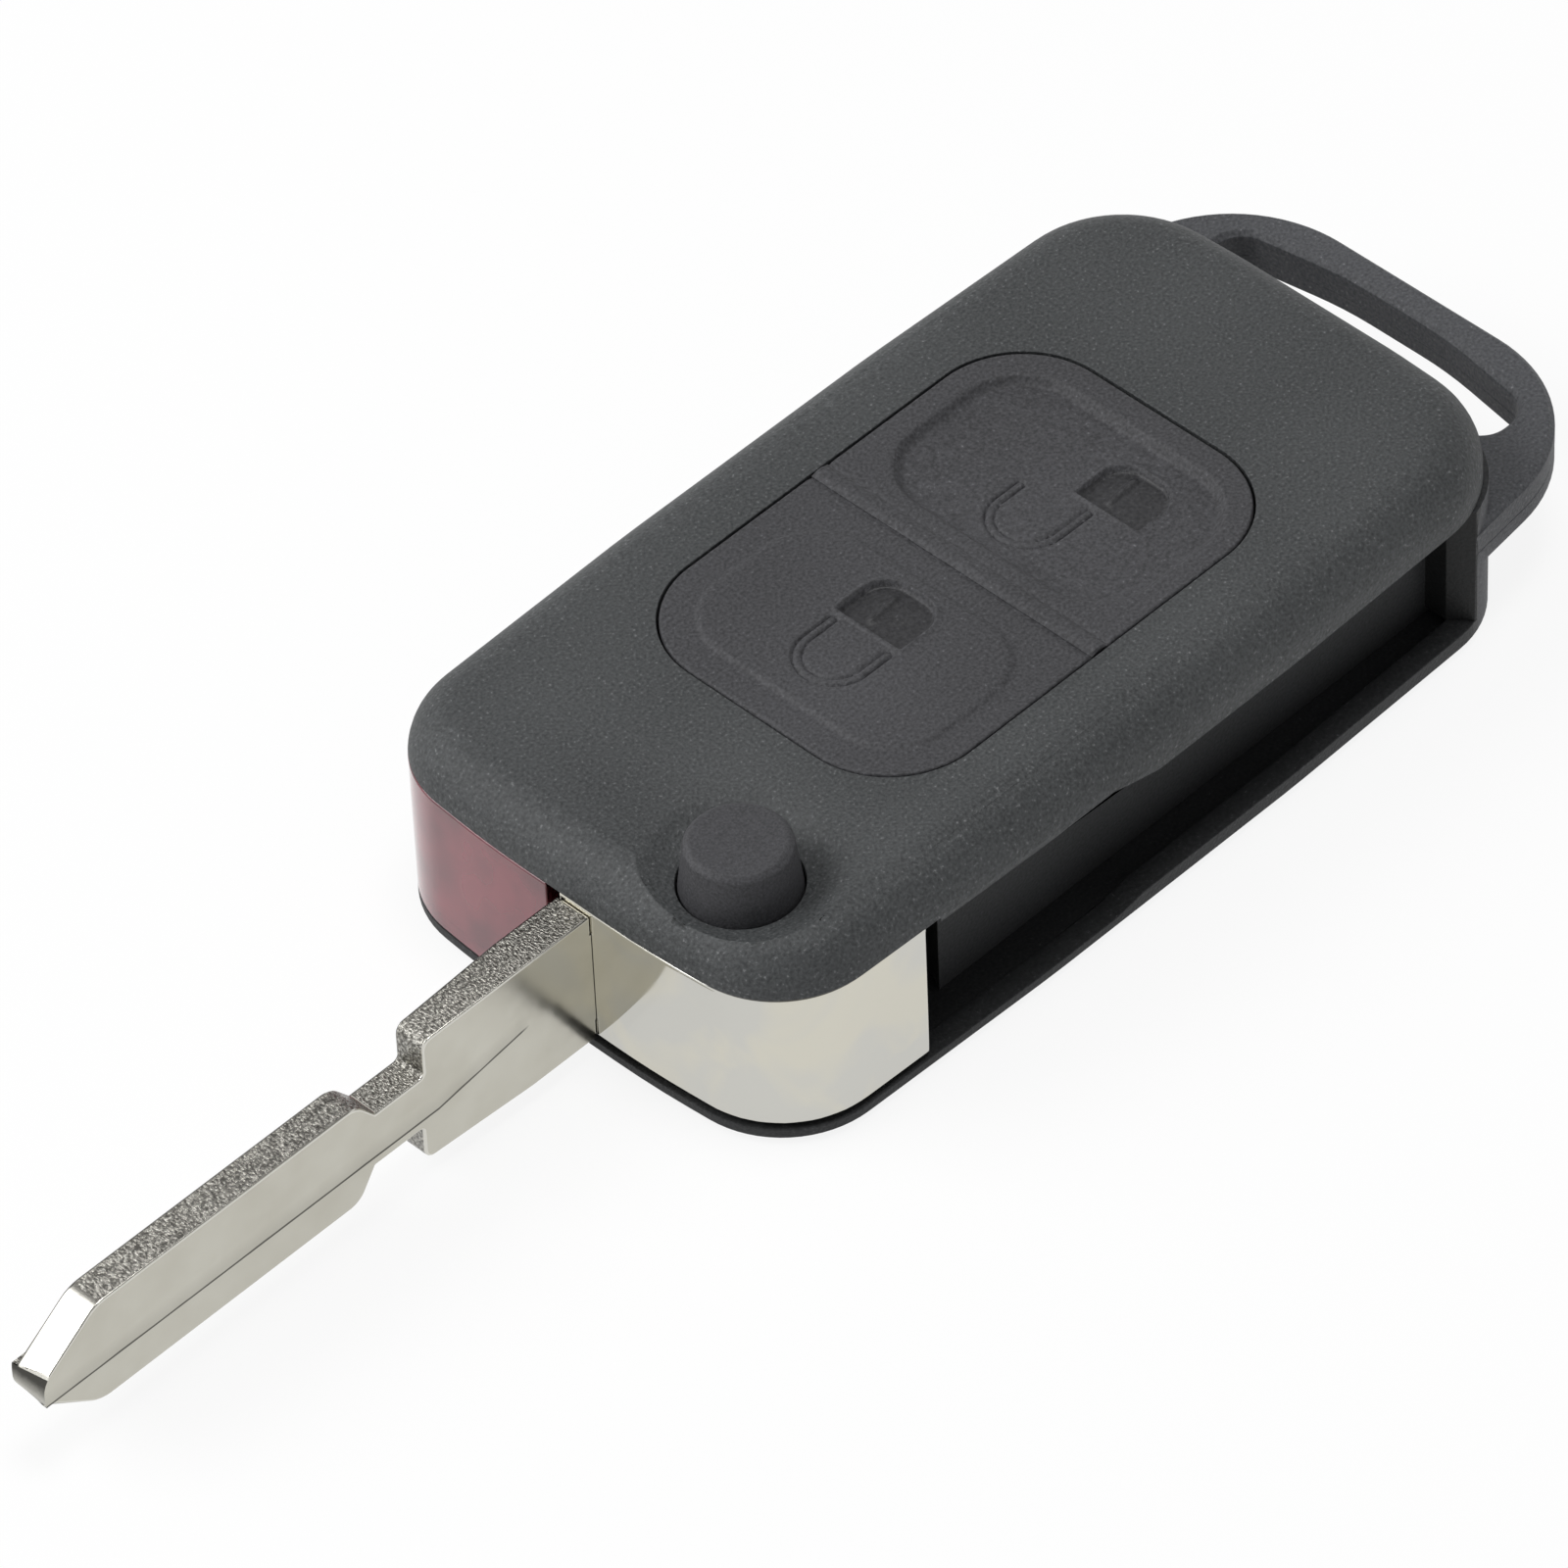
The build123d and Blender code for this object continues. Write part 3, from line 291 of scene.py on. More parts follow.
# Key web: silicone rubber carrier clamped under the shell, with a soft ridge between the two keys.
# The ridge's cap overhangs the keys a little, so no gap shows until one is pressed.
rubber_matt, tree, shader, place = new_finish("silicone_rubber_matt", "#3b3b3e", Roughness=0.62,
                                              Specular_IOR_Level=0.38)
moulded_grain(tree, shader, place, grain_mm, depth_mm=0.035, dark="#303032", light="#4e4e51",
              painted_glint="#737376", painted_glint_from=0.70)
web = dress("key_web", "housing", [rubber_matt], 0.05)
ridge_x, ridge_half_width, ridge_bottom, ridge_crown = 0.5, 0.66, 14.15, 14.4
cap_edge, cap_fullness, cap_steps, end_drop = 0.02, 0.8, 12, 0.12
pad_half_width = 10.78
section = [(ridge_x - ridge_half_width, ridge_bottom), (ridge_x + ridge_half_width, ridge_bottom)]
for step in range(cap_steps + 1):
    across = 1 - 2 * step / cap_steps
    rise = cap_edge + (ridge_crown - ridge_bottom - cap_edge) * cos(across * pi / 2) ** cap_fullness
    section.append((ridge_x + ridge_half_width * across, ridge_bottom + rise))
cap_shape = bmesh.new()
rings = []
for along in (-pad_half_width, -pad_half_width + end_drop, pad_half_width - end_drop, pad_half_width):
    lowering = end_drop if abs(along) == pad_half_width else 0.0
    rings.append([cap_shape.verts.new(Vector((x, along, max(z - lowering, ridge_bottom))) * mm)
                  for x, z in section])
for first, second in zip(rings, rings[1:]):
    for i in range(len(section)):
        j = (i + 1) % len(section)
        cap_shape.faces.new((first[i], first[j], second[j], second[i]))
cap_shape.faces.new(rings[0])
cap_shape.faces.new(rings[-1])
bmesh.ops.remove_doubles(cap_shape, verts=cap_shape.verts, dist=0.001 * mm)
bmesh.ops.recalc_face_normals(cap_shape, faces=cap_shape.faces)
cap_mesh = bpy.data.meshes.new("key_ridge_cap")
cap_shape.to_mesh(cap_mesh)
cap_shape.free()
cap_mesh.shade_smooth()
cap_mesh.set_sharp_from_angle(angle=radians(40))
cap_mesh.materials.append(rubber_matt)
ridge_cap = bpy.data.objects.new("key_ridge_cap", cap_mesh)
scene.collection.objects.link(ridge_cap)
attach(ridge_cap, "housing")


# Lock and unlock keys: silicone rubber caps with moulded padlocks, closed on the front key, open on the rear.
# The front face stands a little proud, the rear one is dished, and each stands on its plunger.
def box_distance(x, y, middle, half, radius):
    """Distance to a rounded rectangle's outline, negative inside."""
    out_x, out_y = abs(x - middle[0]) - half[0] + radius, abs(y - middle[1]) - half[1] + radius
    return hypot(max(out_x, 0), max(out_y, 0)) + min(max(out_x, out_y), 0) - radius


def line_distance(x, y, start, end):
    """Distance to a straight line between two points."""
    run_x, run_y = end[0] - start[0], end[1] - start[1]
    share = ((x - start[0]) * run_x + (y - start[1]) * run_y) / (run_x ** 2 + run_y ** 2)
    share = min(1.0, max(0.0, share))
    return hypot(x - start[0] - share * run_x, y - start[1] - share * run_y)


def ease(value):
    """Smooth step from 0 to 1."""
    value = min(1.0, max(0.0, value))
    return value * value * (3 - 2 * value)


def padlock_body(x, y, edge_x, arch_x, middle_y, half_width):
    """Distance to a padlock's body: straight at one end and arched at the other, negative inside."""
    middle, half = ((edge_x + arch_x) / 2, middle_y), ((arch_x - edge_x) / 2, half_width)
    edge_radius, arch_radius = 0.12, 1.75
    return box_distance(x, y, middle, half, edge_radius if x < middle[0] else arch_radius)


def shackle(x, y, leg_ends, bend_x, middle_y, half_width):
    """Distance to the line of a padlock's shackle: two legs along X joined by a half circle."""
    if x < bend_x:
        return abs(hypot(x - bend_x, y - middle_y) - half_width)
    side = 1 if y > middle_y else -1
    leg_y = middle_y + side * half_width
    return line_distance(x, y, (bend_x, leg_y), (leg_ends[side > 0], leg_y))


pad_low_x, pad_high_x, pad_corner = -15.91, 16.71, 5.9
key_top, key_bottom, key_gap, edge_rounding = 14.2, 12.5, 0.47, 0.18


def padlock_relief(body, bow, slot):
    """Height of a padlock's moulding: a sunk body with a raised rim and slot, and an engraved shackle."""
    body_depth, body_wall, rim_height, rim_mm, rim_out = 0.34, 0.2, 0.1, 0.12, 0.08
    line_depth, line_mm, line_out, slot_height, slot_mm = 0.19, 0.08, 0.27, 0.22, 0.22
    height = rim_height * exp(-((body - rim_out) / rim_mm) ** 2) - body_depth * ease(-body / body_wall)
    height -= line_depth * exp(-((bow - line_out) / line_mm) ** 2)
    return height + slot_height * exp(-(slot / slot_mm) ** 2)


def lock_height(x, y):
    """Height of the front key's face above the shell: a low plateau with a closed padlock."""
    plateau = box_distance(x, y, (-8.0, -0.1), (6.0, 8.95), 4.1)
    body = padlock_body(x, y, -7.1, -3.1, -0.25, 2.5)
    bow = shackle(x, y, (-7.8, -7.8), -9.75, -0.3, 2.1)
    slot = line_distance(x, y, (-6.2, 0.3), (-4.2, 0.45))
    plateau_height, plateau_slope = 0.2, 0.4
    return plateau_height * ease(-plateau / plateau_slope) + padlock_relief(body, bow, slot), body


def unlock_height(x, y):
    """Height of the rear key's face above the shell: a shallow dish with an open padlock."""
    dish = box_distance(x, y, (8.55, -0.15), (6.5, 9.35), 4.3)
    body = padlock_body(x, y, 9.2, 13.05, -3.15, 2.4)
    bow = shackle(x, y, (8.5, 7.6), 6.0, -0.2, 2.2)
    slot = line_distance(x, y, (10.1, -2.6), (12.2, -2.5))
    dish_depth, dish_slope, hollow_depth, hollow_slope = 0.5, 0.65, 0.06, 6.0
    height = -dish_depth * ease(-dish / dish_slope) - hollow_depth * ease(-dish / hollow_slope)
    return height + padlock_relief(body, bow, slot), body


# The padlocks' sunk bodies take a smoother, darker copy of the same rubber; their darkness is painted shade
# in the recess.
rubber_painted_shade, tree, shader, place = new_finish("silicone_rubber_painted_shade", "#2a2a2c", Roughness=0.5,
                                                   Specular_IOR_Level=0.4)
moulded_grain(tree, shader, place, grain_mm, depth_mm=0.03, dark="#232325", light="#3a3a3c",
              painted_glint="#58585a", painted_glint_from=0.70)
corner_rows, column_count, row_mm = 40, 150, 0.1
groove_depth, groove_half_width, groove_slope, shade_inset = 0.09, 0.62, 0.5, 0.1
plunger_side, plunger_length, plunger_middle_z = 2.8, 2.2, 11.4
for node, body_name, side, outer_x, face_height, plunger_x in (
        ("lock_key", "lock", -1, pad_low_x, lock_height, -7.0),
        ("unlock_key", "unlock", 1, pad_high_x, unlock_height, 8.3)):
    inner_x = ridge_x + side * key_gap
    straight = pad_half_width - pad_corner
    rows = [(-straight - pad_corner * cos(i * pi / 2 / corner_rows),
             pad_corner * (1 - sin(i * pi / 2 / corner_rows))) for i in range(corner_rows)]
    straight_rows = int(2 * straight / row_mm)
    rows += [(-straight + 2 * straight * i / straight_rows, 0.0) for i in range(straight_rows + 1)]
    rows += [(-y, cut) for y, cut in rows[corner_rows - 1::-1]]
    shape = bmesh.new()
    grid = []
    in_padlock = {}
    for y, cut in rows:
        line = []
        for column in range(column_count + 1):
            x = inner_x + (outer_x - side * cut - inner_x) * column / column_count
            rim = box_distance(x, y, ((pad_low_x + pad_high_x) / 2, 0),
                               ((pad_high_x - pad_low_x) / 2, pad_half_width), pad_corner)
            height, padlock = face_height(x, y)
            drop = 1 - min(1.0, -rim / edge_rounding)
            height -= edge_rounding * (1 - sqrt(max(0.0, 1 - drop ** 2)))
            height -= groove_depth * (1 - ease((abs(x - ridge_x) - groove_half_width) / groove_slope))
            vert = shape.verts.new((x * mm, y * mm, (key_top + height) * mm))
            in_padlock[vert] = padlock < -shade_inset
            line.append(vert)
        grid.append(line)
    for lower, upper in zip(grid, grid[1:]):
        for i in range(column_count):
            face = shape.faces.new((lower[i], lower[i + 1], upper[i + 1], upper[i]))
            # Faces inside a padlock's sunk body take the darker rubber: painted shade in the recess.
            face.material_index = 1 if in_padlock[lower[i]] and in_padlock[upper[i + 1]] else 0
    rim_verts = grid[0] + [line[-1] for line in grid[1:-1]] + grid[-1][::-1]
    rim_verts += [line[0] for line in grid[-2:0:-1]]
    foot = [shape.verts.new((vert.co.x, vert.co.y, key_bottom * mm)) for vert in rim_verts]
    for i in range(len(foot)):
        j = (i + 1) % len(foot)
        shape.faces.new((rim_verts[i], rim_verts[j], foot[j], foot[i]))
    shape.faces.new(foot)
    plunger_size = Matrix.Diagonal((plunger_side * mm, plunger_side * mm, plunger_length * mm, 1))
    plunger_place = Matrix.Translation(Vector((plunger_x, 0, plunger_middle_z)) * mm)
    bmesh.ops.create_cube(shape, size=1, matrix=plunger_place @ plunger_size)
    bmesh.ops.recalc_face_normals(shape, faces=shape.faces)
    mesh = bpy.data.meshes.new(node + "_cap")
    shape.to_mesh(mesh)
    shape.free()
    mesh.shade_smooth()
    mesh.set_sharp_from_angle(angle=radians(60))
    mesh.materials.append(rubber_matt)
    mesh.materials.append(rubber_painted_shade)
    key = bpy.data.objects.new(node + "_cap", mesh)
    scene.collection.objects.link(key)
    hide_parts(node)
    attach(key, body_name)


# Release button: ABS cap with tapered sides, hollow for its spring, moulded with a very fine grain.
# Its edge is softly rounded and its top very slightly sunk.
abs_button, tree, shader, place = new_finish("abs_button_matt", "#333435", Roughness=0.62,
                                             Specular_IOR_Level=0.35)
fine_grain_mm = 0.15
moulded_grain(tree, shader, place, fine_grain_mm, depth_mm=0.03, dark="#333335", light="#4b4b4e",
              painted_glint="#68686b", painted_glint_from=0.72)
button = dress("release_button", "release", [abs_button], 0.14, 3)


# Lock cog: stamped and hardened steel ring pressed on the button's neck, left as it was tumbled.
# Tumbling leaves a satin grey surface with fine random scratches.
steel_tumbled, tree, shader, place = new_finish("steel_tumbled", "#8f8f8e", Metallic=1.0)
rub_mm = 0.25
rub = add_node(tree, "ShaderNodeTexNoise", {"Vector": place, "Scale": 1 / (rub_mm * mm), "Detail": 6.0})
satin = add_node(tree, "ShaderNodeMapRange", {"Value": rub, "From Min": 0.3, "From Max": 0.7,
                                              "To Min": 0.28, "To Max": 0.5})
tree.links.new(satin, shader.inputs["Roughness"])
lift = add_node(tree, "ShaderNodeBump", {"Height": rub, "Distance": 0.01 * mm})
tree.links.new(lift, shader.inputs["Normal"])
cog = dress("lock_cog", "release", [steel_tumbled], 0.05)


# Flip head: zinc casting, polished and chrome plated, with a rounded corner that matches the body's.
# Plating over polished zinc keeps long soft waves, which bend its reflections, and a faint warm haze.
chrome_plate, tree, shader, place = new_finish("zinc_chrome_plated", "#cbc9c1", Metallic=1.0)
wave_mm, haze_mm = 9.0, 5.5
wave = add_node(tree, "ShaderNodeTexNoise", {"Vector": place, "Scale": 1 / (wave_mm * mm), "Detail": 1.0})
haze = add_node(tree, "ShaderNodeTexNoise", {"Vector": place, "Scale": 1 / (haze_mm * mm), "Detail": 2.0,
                                             "Distortion": 0.8})
haze = add_node(tree, "ShaderNodeMapRange", {"Value": haze, "From Min": 0.42, "From Max": 0.60})
warm = add_node(tree, "ShaderNodeMix", {0: haze, 6: linear("#c6c5bf"), 7: linear("#cdcabe")},
                data_type="RGBA")
tree.links.new(warm, shader.inputs["Base Color"])
smear = add_node(tree, "ShaderNodeMapRange", {"Value": haze, "To Min": 0.04, "To Max": 0.10})
tree.links.new(smear, shader.inputs["Roughness"])
lift = add_node(tree, "ShaderNodeBump", {"Height": wave, "Distance": 0.08 * mm})
tree.links.new(lift, shader.inputs["Normal"])


def soften_only(piece, picked):
    """Keeps a piece's bevel on the sharp edges that picked accepts, given their two ends in millimetres."""
    sharp_degrees = 32
    shape = bmesh.new()
    shape.from_mesh(piece.data)
    layer = shape.edges.layers.float.new("bevel_weight_edge")
    for edge in shape.edges:
        sharp = edge.calc_face_angle(0.0) > radians(sharp_degrees)
        edge[layer] = 1.0 if sharp and picked(*(vert.co / mm for vert in edge.verts)) else 0.0
    shape.to_mesh(piece.data)
    shape.free()
    piece.modifiers["soft_edges"].limit_method = "WEIGHT"


head = dress("flip_head", "flip", [chrome_plate], 0.12, 3)
pivot_x, pivot_y, pocket_radius = -25.0, -7.8, 5.3
top_rim_z, bottom_rim_z = 10.9, 1.6
soften_only(head, lambda a, b: min(hypot(end.x - pivot_x, end.y - pivot_y) for end in (a, b)) > pocket_radius
            and (min(a.z, b.z) > top_rim_z or max(a.z, b.z) < bottom_rim_z))


# Key blade: brass bar sheared to shape and milled on its sides, then nickel plated all over.
# The milled sides are smooth with a painted dark shadow line along the track, and the sheared edges are
# coarse.
# The tip is polished bright, and its rounded end has a painted reflection.
nickel_milled, tree, shader, place = new_finish("brass_nickel_plated_milled", "#bdbbaf", Metallic=1.0)
mill_mm = 3.0
mill = add_node(tree, "ShaderNodeTexNoise", {"Vector": place, "Scale": 1 / (mill_mm * mm), "Detail": 3.0})
sheen = add_node(tree, "ShaderNodeMapRange", {"Value": mill, "From Min": 0.3, "From Max": 0.7,
                                              "To Min": 0.14, "To Max": 0.26})
tree.links.new(sheen, shader.inputs["Roughness"])
lift = add_node(tree, "ShaderNodeBump", {"Height": mill, "Distance": 0.02 * mm})
tree.links.new(lift, shader.inputs["Normal"])
# The line is a painted shadow that follows the track's edge: level from the tip, then rising to where the
# track runs out.
# It wanders a little with the milling, and just above it the side gets painted shade where it curves into the
# track.
track_z, track_rise, track_bend_x, track_end_x = 5.02, 1.1, -42.91, -35.91
line_mm, line_core, line_fade, line_wander, line_strength = 0.09, 0.6, 1.3, 1.4, 0.9
shade_mm, shade_strength, run_out_mm = 1.3, 0.16, 0.6
parts = add_node(tree, "ShaderNodeSeparateXYZ", {0: place}).node.outputs
rise = add_node(tree, "ShaderNodeMapRange", {"Value": parts["X"], "From Min": track_bend_x * mm,
                                             "From Max": track_end_x * mm, "To Min": track_z * mm,
                                             "To Max": (track_z + track_rise) * mm})
above = add_node(tree, "ShaderNodeMath", {0: parts["Z"], 1: rise}, operation="SUBTRACT")
wander = add_node(tree, "ShaderNodeMath", {0: mill, 1: -line_wander * line_mm * mm, 2: above},
                  operation="MULTIPLY_ADD")
away = add_node(tree, "ShaderNodeMath", {0: wander}, operation="ABSOLUTE")
painted_track_shadow = add_node(tree, "ShaderNodeMapRange", {"Value": away, "From Min": line_core * line_mm * mm,
                                               "From Max": line_fade * line_mm * mm,
                                               "To Min": line_strength, "To Max": 0.0})
shade = add_node(tree, "ShaderNodeMapRange", {"Value": above, "From Min": 0.0, "From Max": shade_mm * mm,
                                              "To Min": shade_strength, "To Max": 0.0})
is_above = add_node(tree, "ShaderNodeMath", {0: above, 1: 0.0}, operation="GREATER_THAN")
shade = add_node(tree, "ShaderNodeMath", {0: shade, 1: is_above}, operation="MULTIPLY")
within = add_node(tree, "ShaderNodeMapRange", {"Value": parts["X"],
                                               "From Min": (track_end_x - run_out_mm) * mm,
                                               "From Max": track_end_x * mm, "To Min": 1.0, "To Max": 0.0})
painted_track_shadow = add_node(tree, "ShaderNodeMath", {0: painted_track_shadow, 1: shade}, operation="MAXIMUM")
painted_track_shadow = add_node(tree, "ShaderNodeMath", {0: painted_track_shadow, 1: within}, operation="MULTIPLY")
silver = add_node(tree, "ShaderNodeMix", {0: mill, 6: linear("#c4c2b8"), 7: linear("#b6b3a7")},
                  data_type="RGBA")
# The painted shadow line and the painted shade above it darken the milled colour.
silver = add_node(tree, "ShaderNodeMix", {0: painted_track_shadow, 6: silver, 7: linear("#2f2d29")}, data_type="RGBA")
tree.links.new(silver, shader.inputs["Base Color"])
# The sheared grain is about 0.1 mm and runs across the blade; it is drawn at 0.13 mm so that it shows.
nickel_sheared, tree, shader, place = new_finish("brass_nickel_plated_sheared", "#a9a69c", Metallic=1.0,
                                                 Roughness=0.24)
pit_mm, shear_stretch = 0.13, 0.6
pit = add_node(tree, "ShaderNodeMapping", {"Vector": place, "Scale": (1, shear_stretch, shear_stretch)})
pit = add_node(tree, "ShaderNodeTexNoise", {"Vector": pit, "Scale": 1 / (pit_mm * mm), "Detail": 3.0})
lift = add_node(tree, "ShaderNodeBump", {"Height": pit, "Distance": 0.13 * mm})
tree.links.new(lift, shader.inputs["Normal"])
grime = add_node(tree, "ShaderNodeMapRange", {"Value": pit, "From Min": 0.38, "From Max": 0.64})
dull = add_node(tree, "ShaderNodeMix", {0: grime, 6: linear("#5a5853"), 7: linear("#b8b6af")},
                data_type="RGBA")
tree.links.new(dull, shader.inputs["Base Color"])
nickel_polished, tree, shader, place = new_finish("brass_nickel_plated_polished", "#d2d0c8", Metallic=1.0,
                                                  Roughness=0.26)
buff_mm = 1.5
buff = add_node(tree, "ShaderNodeTexNoise", {"Vector": place, "Scale": 1 / (buff_mm * mm), "Detail": 1.0})
lift = add_node(tree, "ShaderNodeBump", {"Height": buff, "Distance": 0.02 * mm})
tree.links.new(lift, shader.inputs["Normal"])
# Polished faces towards the far side are painted dark, a painted reflection that outlines the tip's bright
# face.
painted_dark_from_y, painted_dark_y = 0.02 * mm, 0.14 * mm
depth = add_node(tree, "ShaderNodeSeparateXYZ", {0: place}).node.outputs["Y"]
far_edge_painted_dark = add_node(tree, "ShaderNodeMapRange", {"Value": depth, "From Min": painted_dark_from_y, "From Max": painted_dark_y})
edge = add_node(tree, "ShaderNodeMix", {0: far_edge_painted_dark, 6: linear("#d2d0c8"), 7: linear("#3a3936")},
                data_type="RGBA")
tree.links.new(edge, shader.inputs["Base Color"])
# The rounded end has a painted reflection: dark where it turns up, pale where it turns down.
nickel_end_painted, tree, shader, place = new_finish("brass_nickel_plated_end_painted", "#8d8b84", Metallic=1.0,
                                              Roughness=0.3)
painted_dark_low_z, painted_dark_high_z, blotch_mm = 5.6 * mm, 6.7 * mm, 0.4
blotch = add_node(tree, "ShaderNodeTexNoise", {"Vector": place, "Scale": 1 / (blotch_mm * mm), "Detail": 2.0})
level = add_node(tree, "ShaderNodeSeparateXYZ", {0: place}).node.outputs["Z"]
level = add_node(tree, "ShaderNodeMath", {0: blotch, 1: blotch_mm * mm, 2: level}, operation="MULTIPLY_ADD")
painted_dark_share = add_node(tree, "ShaderNodeMapRange", {"Value": level, "From Min": painted_dark_low_z, "From Max": painted_dark_high_z})
tone = add_node(tree, "ShaderNodeMix", {0: painted_dark_share, 6: linear("#b4b2a9"), 7: linear("#4a4945")},
                data_type="RGBA")
tree.links.new(tone, shader.inputs["Base Color"])


def round_edges(piece, picked, radius_mm):
    """Rounds a piece's sharp edges that picked accepts, given their two ends in millimetres."""
    edge_degrees, segments, smooth_degrees = 25, 4, 32
    shape = bmesh.new()
    shape.from_mesh(piece.data)
    chosen = [edge for edge in shape.edges if edge.calc_face_angle(0.0) > radians(edge_degrees)
              and picked(edge.verts[0].co / mm, edge.verts[1].co / mm)]
    bmesh.ops.bevel(shape, geom=chosen, offset=radius_mm * mm, segments=segments, profile=0.5,
                    affect="EDGES", clamp_overlap=False)
    shape.to_mesh(piece.data)
    shape.free()
    piece.data.set_sharp_from_angle(angle=radians(smooth_degrees))


# Corners that cross the blade are rounded by its polishing; every edge but the track's has a bright bevel.
blade = dress("key_blade", "flip", [nickel_milled, nickel_sheared, nickel_polished, nickel_end_painted], 0.14, 3)
sheared, polished, painted_end = 1, 2, 3
# The root's inner corner is ground down flush with the head's round back.
ground_from_x, root_end_x, flush_y = -24.7, -22.5, -0.45
shape = bmesh.new()
shape.from_mesh(blade.data)
bmesh.ops.bisect_plane(shape, geom=shape.verts[:] + shape.edges[:] + shape.faces[:],
                       plane_co=(ground_from_x * mm, 0, 0), plane_no=(1, 0, 0))
for vert in shape.verts:
    if vert.co.x > root_end_x * mm and vert.co.y > 0:
        vert.co.y = flush_y * mm
shape.to_mesh(blade.data)
shape.free()
corner_mm, bit_end_x, tip_start_x, upper_z, lower_z = 0.7, -42, -68, 8.9, 2.9
round_edges(blade, lambda a, b: max(a.x, b.x) < bit_end_x and abs(a.y - b.y) > 1
            and abs(a.x - b.x) < 0.01 and abs(a.z - b.z) < 0.01
            and (max(a.z, b.z) > upper_z or min(a.z, b.z) < lower_z or a.x < tip_start_x), corner_mm)
root_start_x, track_low_z, track_high_z = -35, 4.5, 7.4
soften_only(blade, lambda a, b: max(a.x, b.x) >= root_start_x or min(a.z, b.z) <= track_low_z
            or max(a.z, b.z) >= track_high_z or abs(a.y - b.y) >= 1)
blade.modifiers["soft_edges"].material = polished
for face in blade.data.polygons:
    if abs(face.normal.y) < 0.7:
        if face.center.x > tip_start_x * mm:
            face.material_index = sheared
        else:
            # The end face takes the material with the painted reflection.
            face.material_index = painted_end if face.normal.x < -0.9 else polished


# Roll pin, pivot spindle and washer: turned or rolled steel, pressed or dropped into place.
# Turning leaves fine rings, which show as a soft satin around each pin.
steel_turned, tree, shader, place = new_finish("steel_turned", "#a7a8a8", Metallic=1.0, Roughness=0.3)
ring_mm, ring_stretch = 0.12, 0.05
rings = add_node(tree, "ShaderNodeMapping", {"Vector": place, "Scale": (ring_stretch, ring_stretch, 1)})
rings = add_node(tree, "ShaderNodeTexNoise", {"Vector": rings, "Scale": 1 / (ring_mm * mm), "Detail": 2.0})
lift = add_node(tree, "ShaderNodeBump", {"Height": rings, "Distance": 0.01 * mm})
tree.links.new(lift, shader.inputs["Normal"])
for node, body_name in (("blade_pin", "flip"), ("pivot_spindle", "housing"), ("spring_washer", "housing")):
    dress(node, body_name, [steel_turned], 0.05)


# Flip spring and button spring: round spring-steel wire, coiled cold.
# One throws the head, one lifts the button; drawn wire is smooth and bright with a faint brown heat tint.
steel_wire, tree, shader, place = new_finish("steel_spring_wire", "#9b958c", Metallic=1.0)
draw_mm = 0.5
draw = add_node(tree, "ShaderNodeTexNoise", {"Vector": place, "Scale": 1 / (draw_mm * mm), "Detail": 3.0})
tint = add_node(tree, "ShaderNodeMix", {0: draw, 6: linear("#a8a39b"), 7: linear("#8b8276")},
                data_type="RGBA")
tree.links.new(tint, shader.inputs["Base Color"])
slick = add_node(tree, "ShaderNodeMapRange", {"Value": draw, "To Min": 0.18, "To Max": 0.36})
tree.links.new(slick, shader.inputs["Roughness"])
coil_tree = bpy.data.node_groups.new("coil_spring", "GeometryNodeTree")
coil_tree.interface.new_socket("Geometry", in_out="OUTPUT", socket_type="NodeSocketGeometry")
sizes = {name: coil_tree.interface.new_socket(name, in_out="INPUT", socket_type="NodeSocketFloat").identifier
         for name in ("Coil Radius", "Wire Radius", "Height", "Turns", "Inner Leg", "Outer Leg")}
for name, kind in (("Foot", "NodeSocketVector"), ("Wire", "NodeSocketMaterial")):
    sizes[name] = coil_tree.interface.new_socket(name, in_out="INPUT", socket_type=kind).identifier
given = coil_tree.nodes.new("NodeGroupInput").outputs
path = add_node(coil_tree, "GeometryNodeCurveSpiral", {"Resolution": 40, "Rotations": given["Turns"],
                                                       "Start Radius": given["Coil Radius"],
                                                       "End Radius": given["Coil Radius"],
                                                       "Height": given["Height"]})
end_angle = add_node(coil_tree, "ShaderNodeMath", {0: given["Turns"], 1: 2 * pi}, operation="MULTIPLY")
end_side = add_node(coil_tree, "ShaderNodeMath", {0: end_angle}, operation="COSINE")
end_x = add_node(coil_tree, "ShaderNodeMath", {0: end_side, 1: given["Coil Radius"]}, operation="MULTIPLY")
end_reach = add_node(coil_tree, "ShaderNodeMath", {0: end_side, 1: given["Outer Leg"], 2: end_x},
                     operation="MULTIPLY_ADD")
start_reach = add_node(coil_tree, "ShaderNodeMath", {0: given["Coil Radius"], 1: given["Inner Leg"]},
                       operation="SUBTRACT")
legs = []
for near, far, level in ((start_reach, given["Coil Radius"], 0.0), (end_x, end_reach, given["Height"])):
    low_end = add_node(coil_tree, "ShaderNodeCombineXYZ", {"X": near, "Z": level})
    high_end = add_node(coil_tree, "ShaderNodeCombineXYZ", {"X": far, "Z": level})
    legs.append(add_node(coil_tree, "GeometryNodeCurvePrimitiveLine", {"Start": low_end, "End": high_end}))
wires = coil_tree.nodes.new("GeometryNodeJoinGeometry")
for wire in (path, *legs):
    coil_tree.links.new(wire, wires.inputs[0])
ring = add_node(coil_tree, "GeometryNodeCurvePrimitiveCircle", {"Resolution": 10,
                                                                "Radius": given["Wire Radius"]})
coil = add_node(coil_tree, "GeometryNodeCurveToMesh", {"Curve": wires.outputs[0], "Profile Curve": ring,
                                                       "Fill Caps": True})
coil = add_node(coil_tree, "GeometryNodeTransform", {"Geometry": coil, "Translation": given["Foot"]})
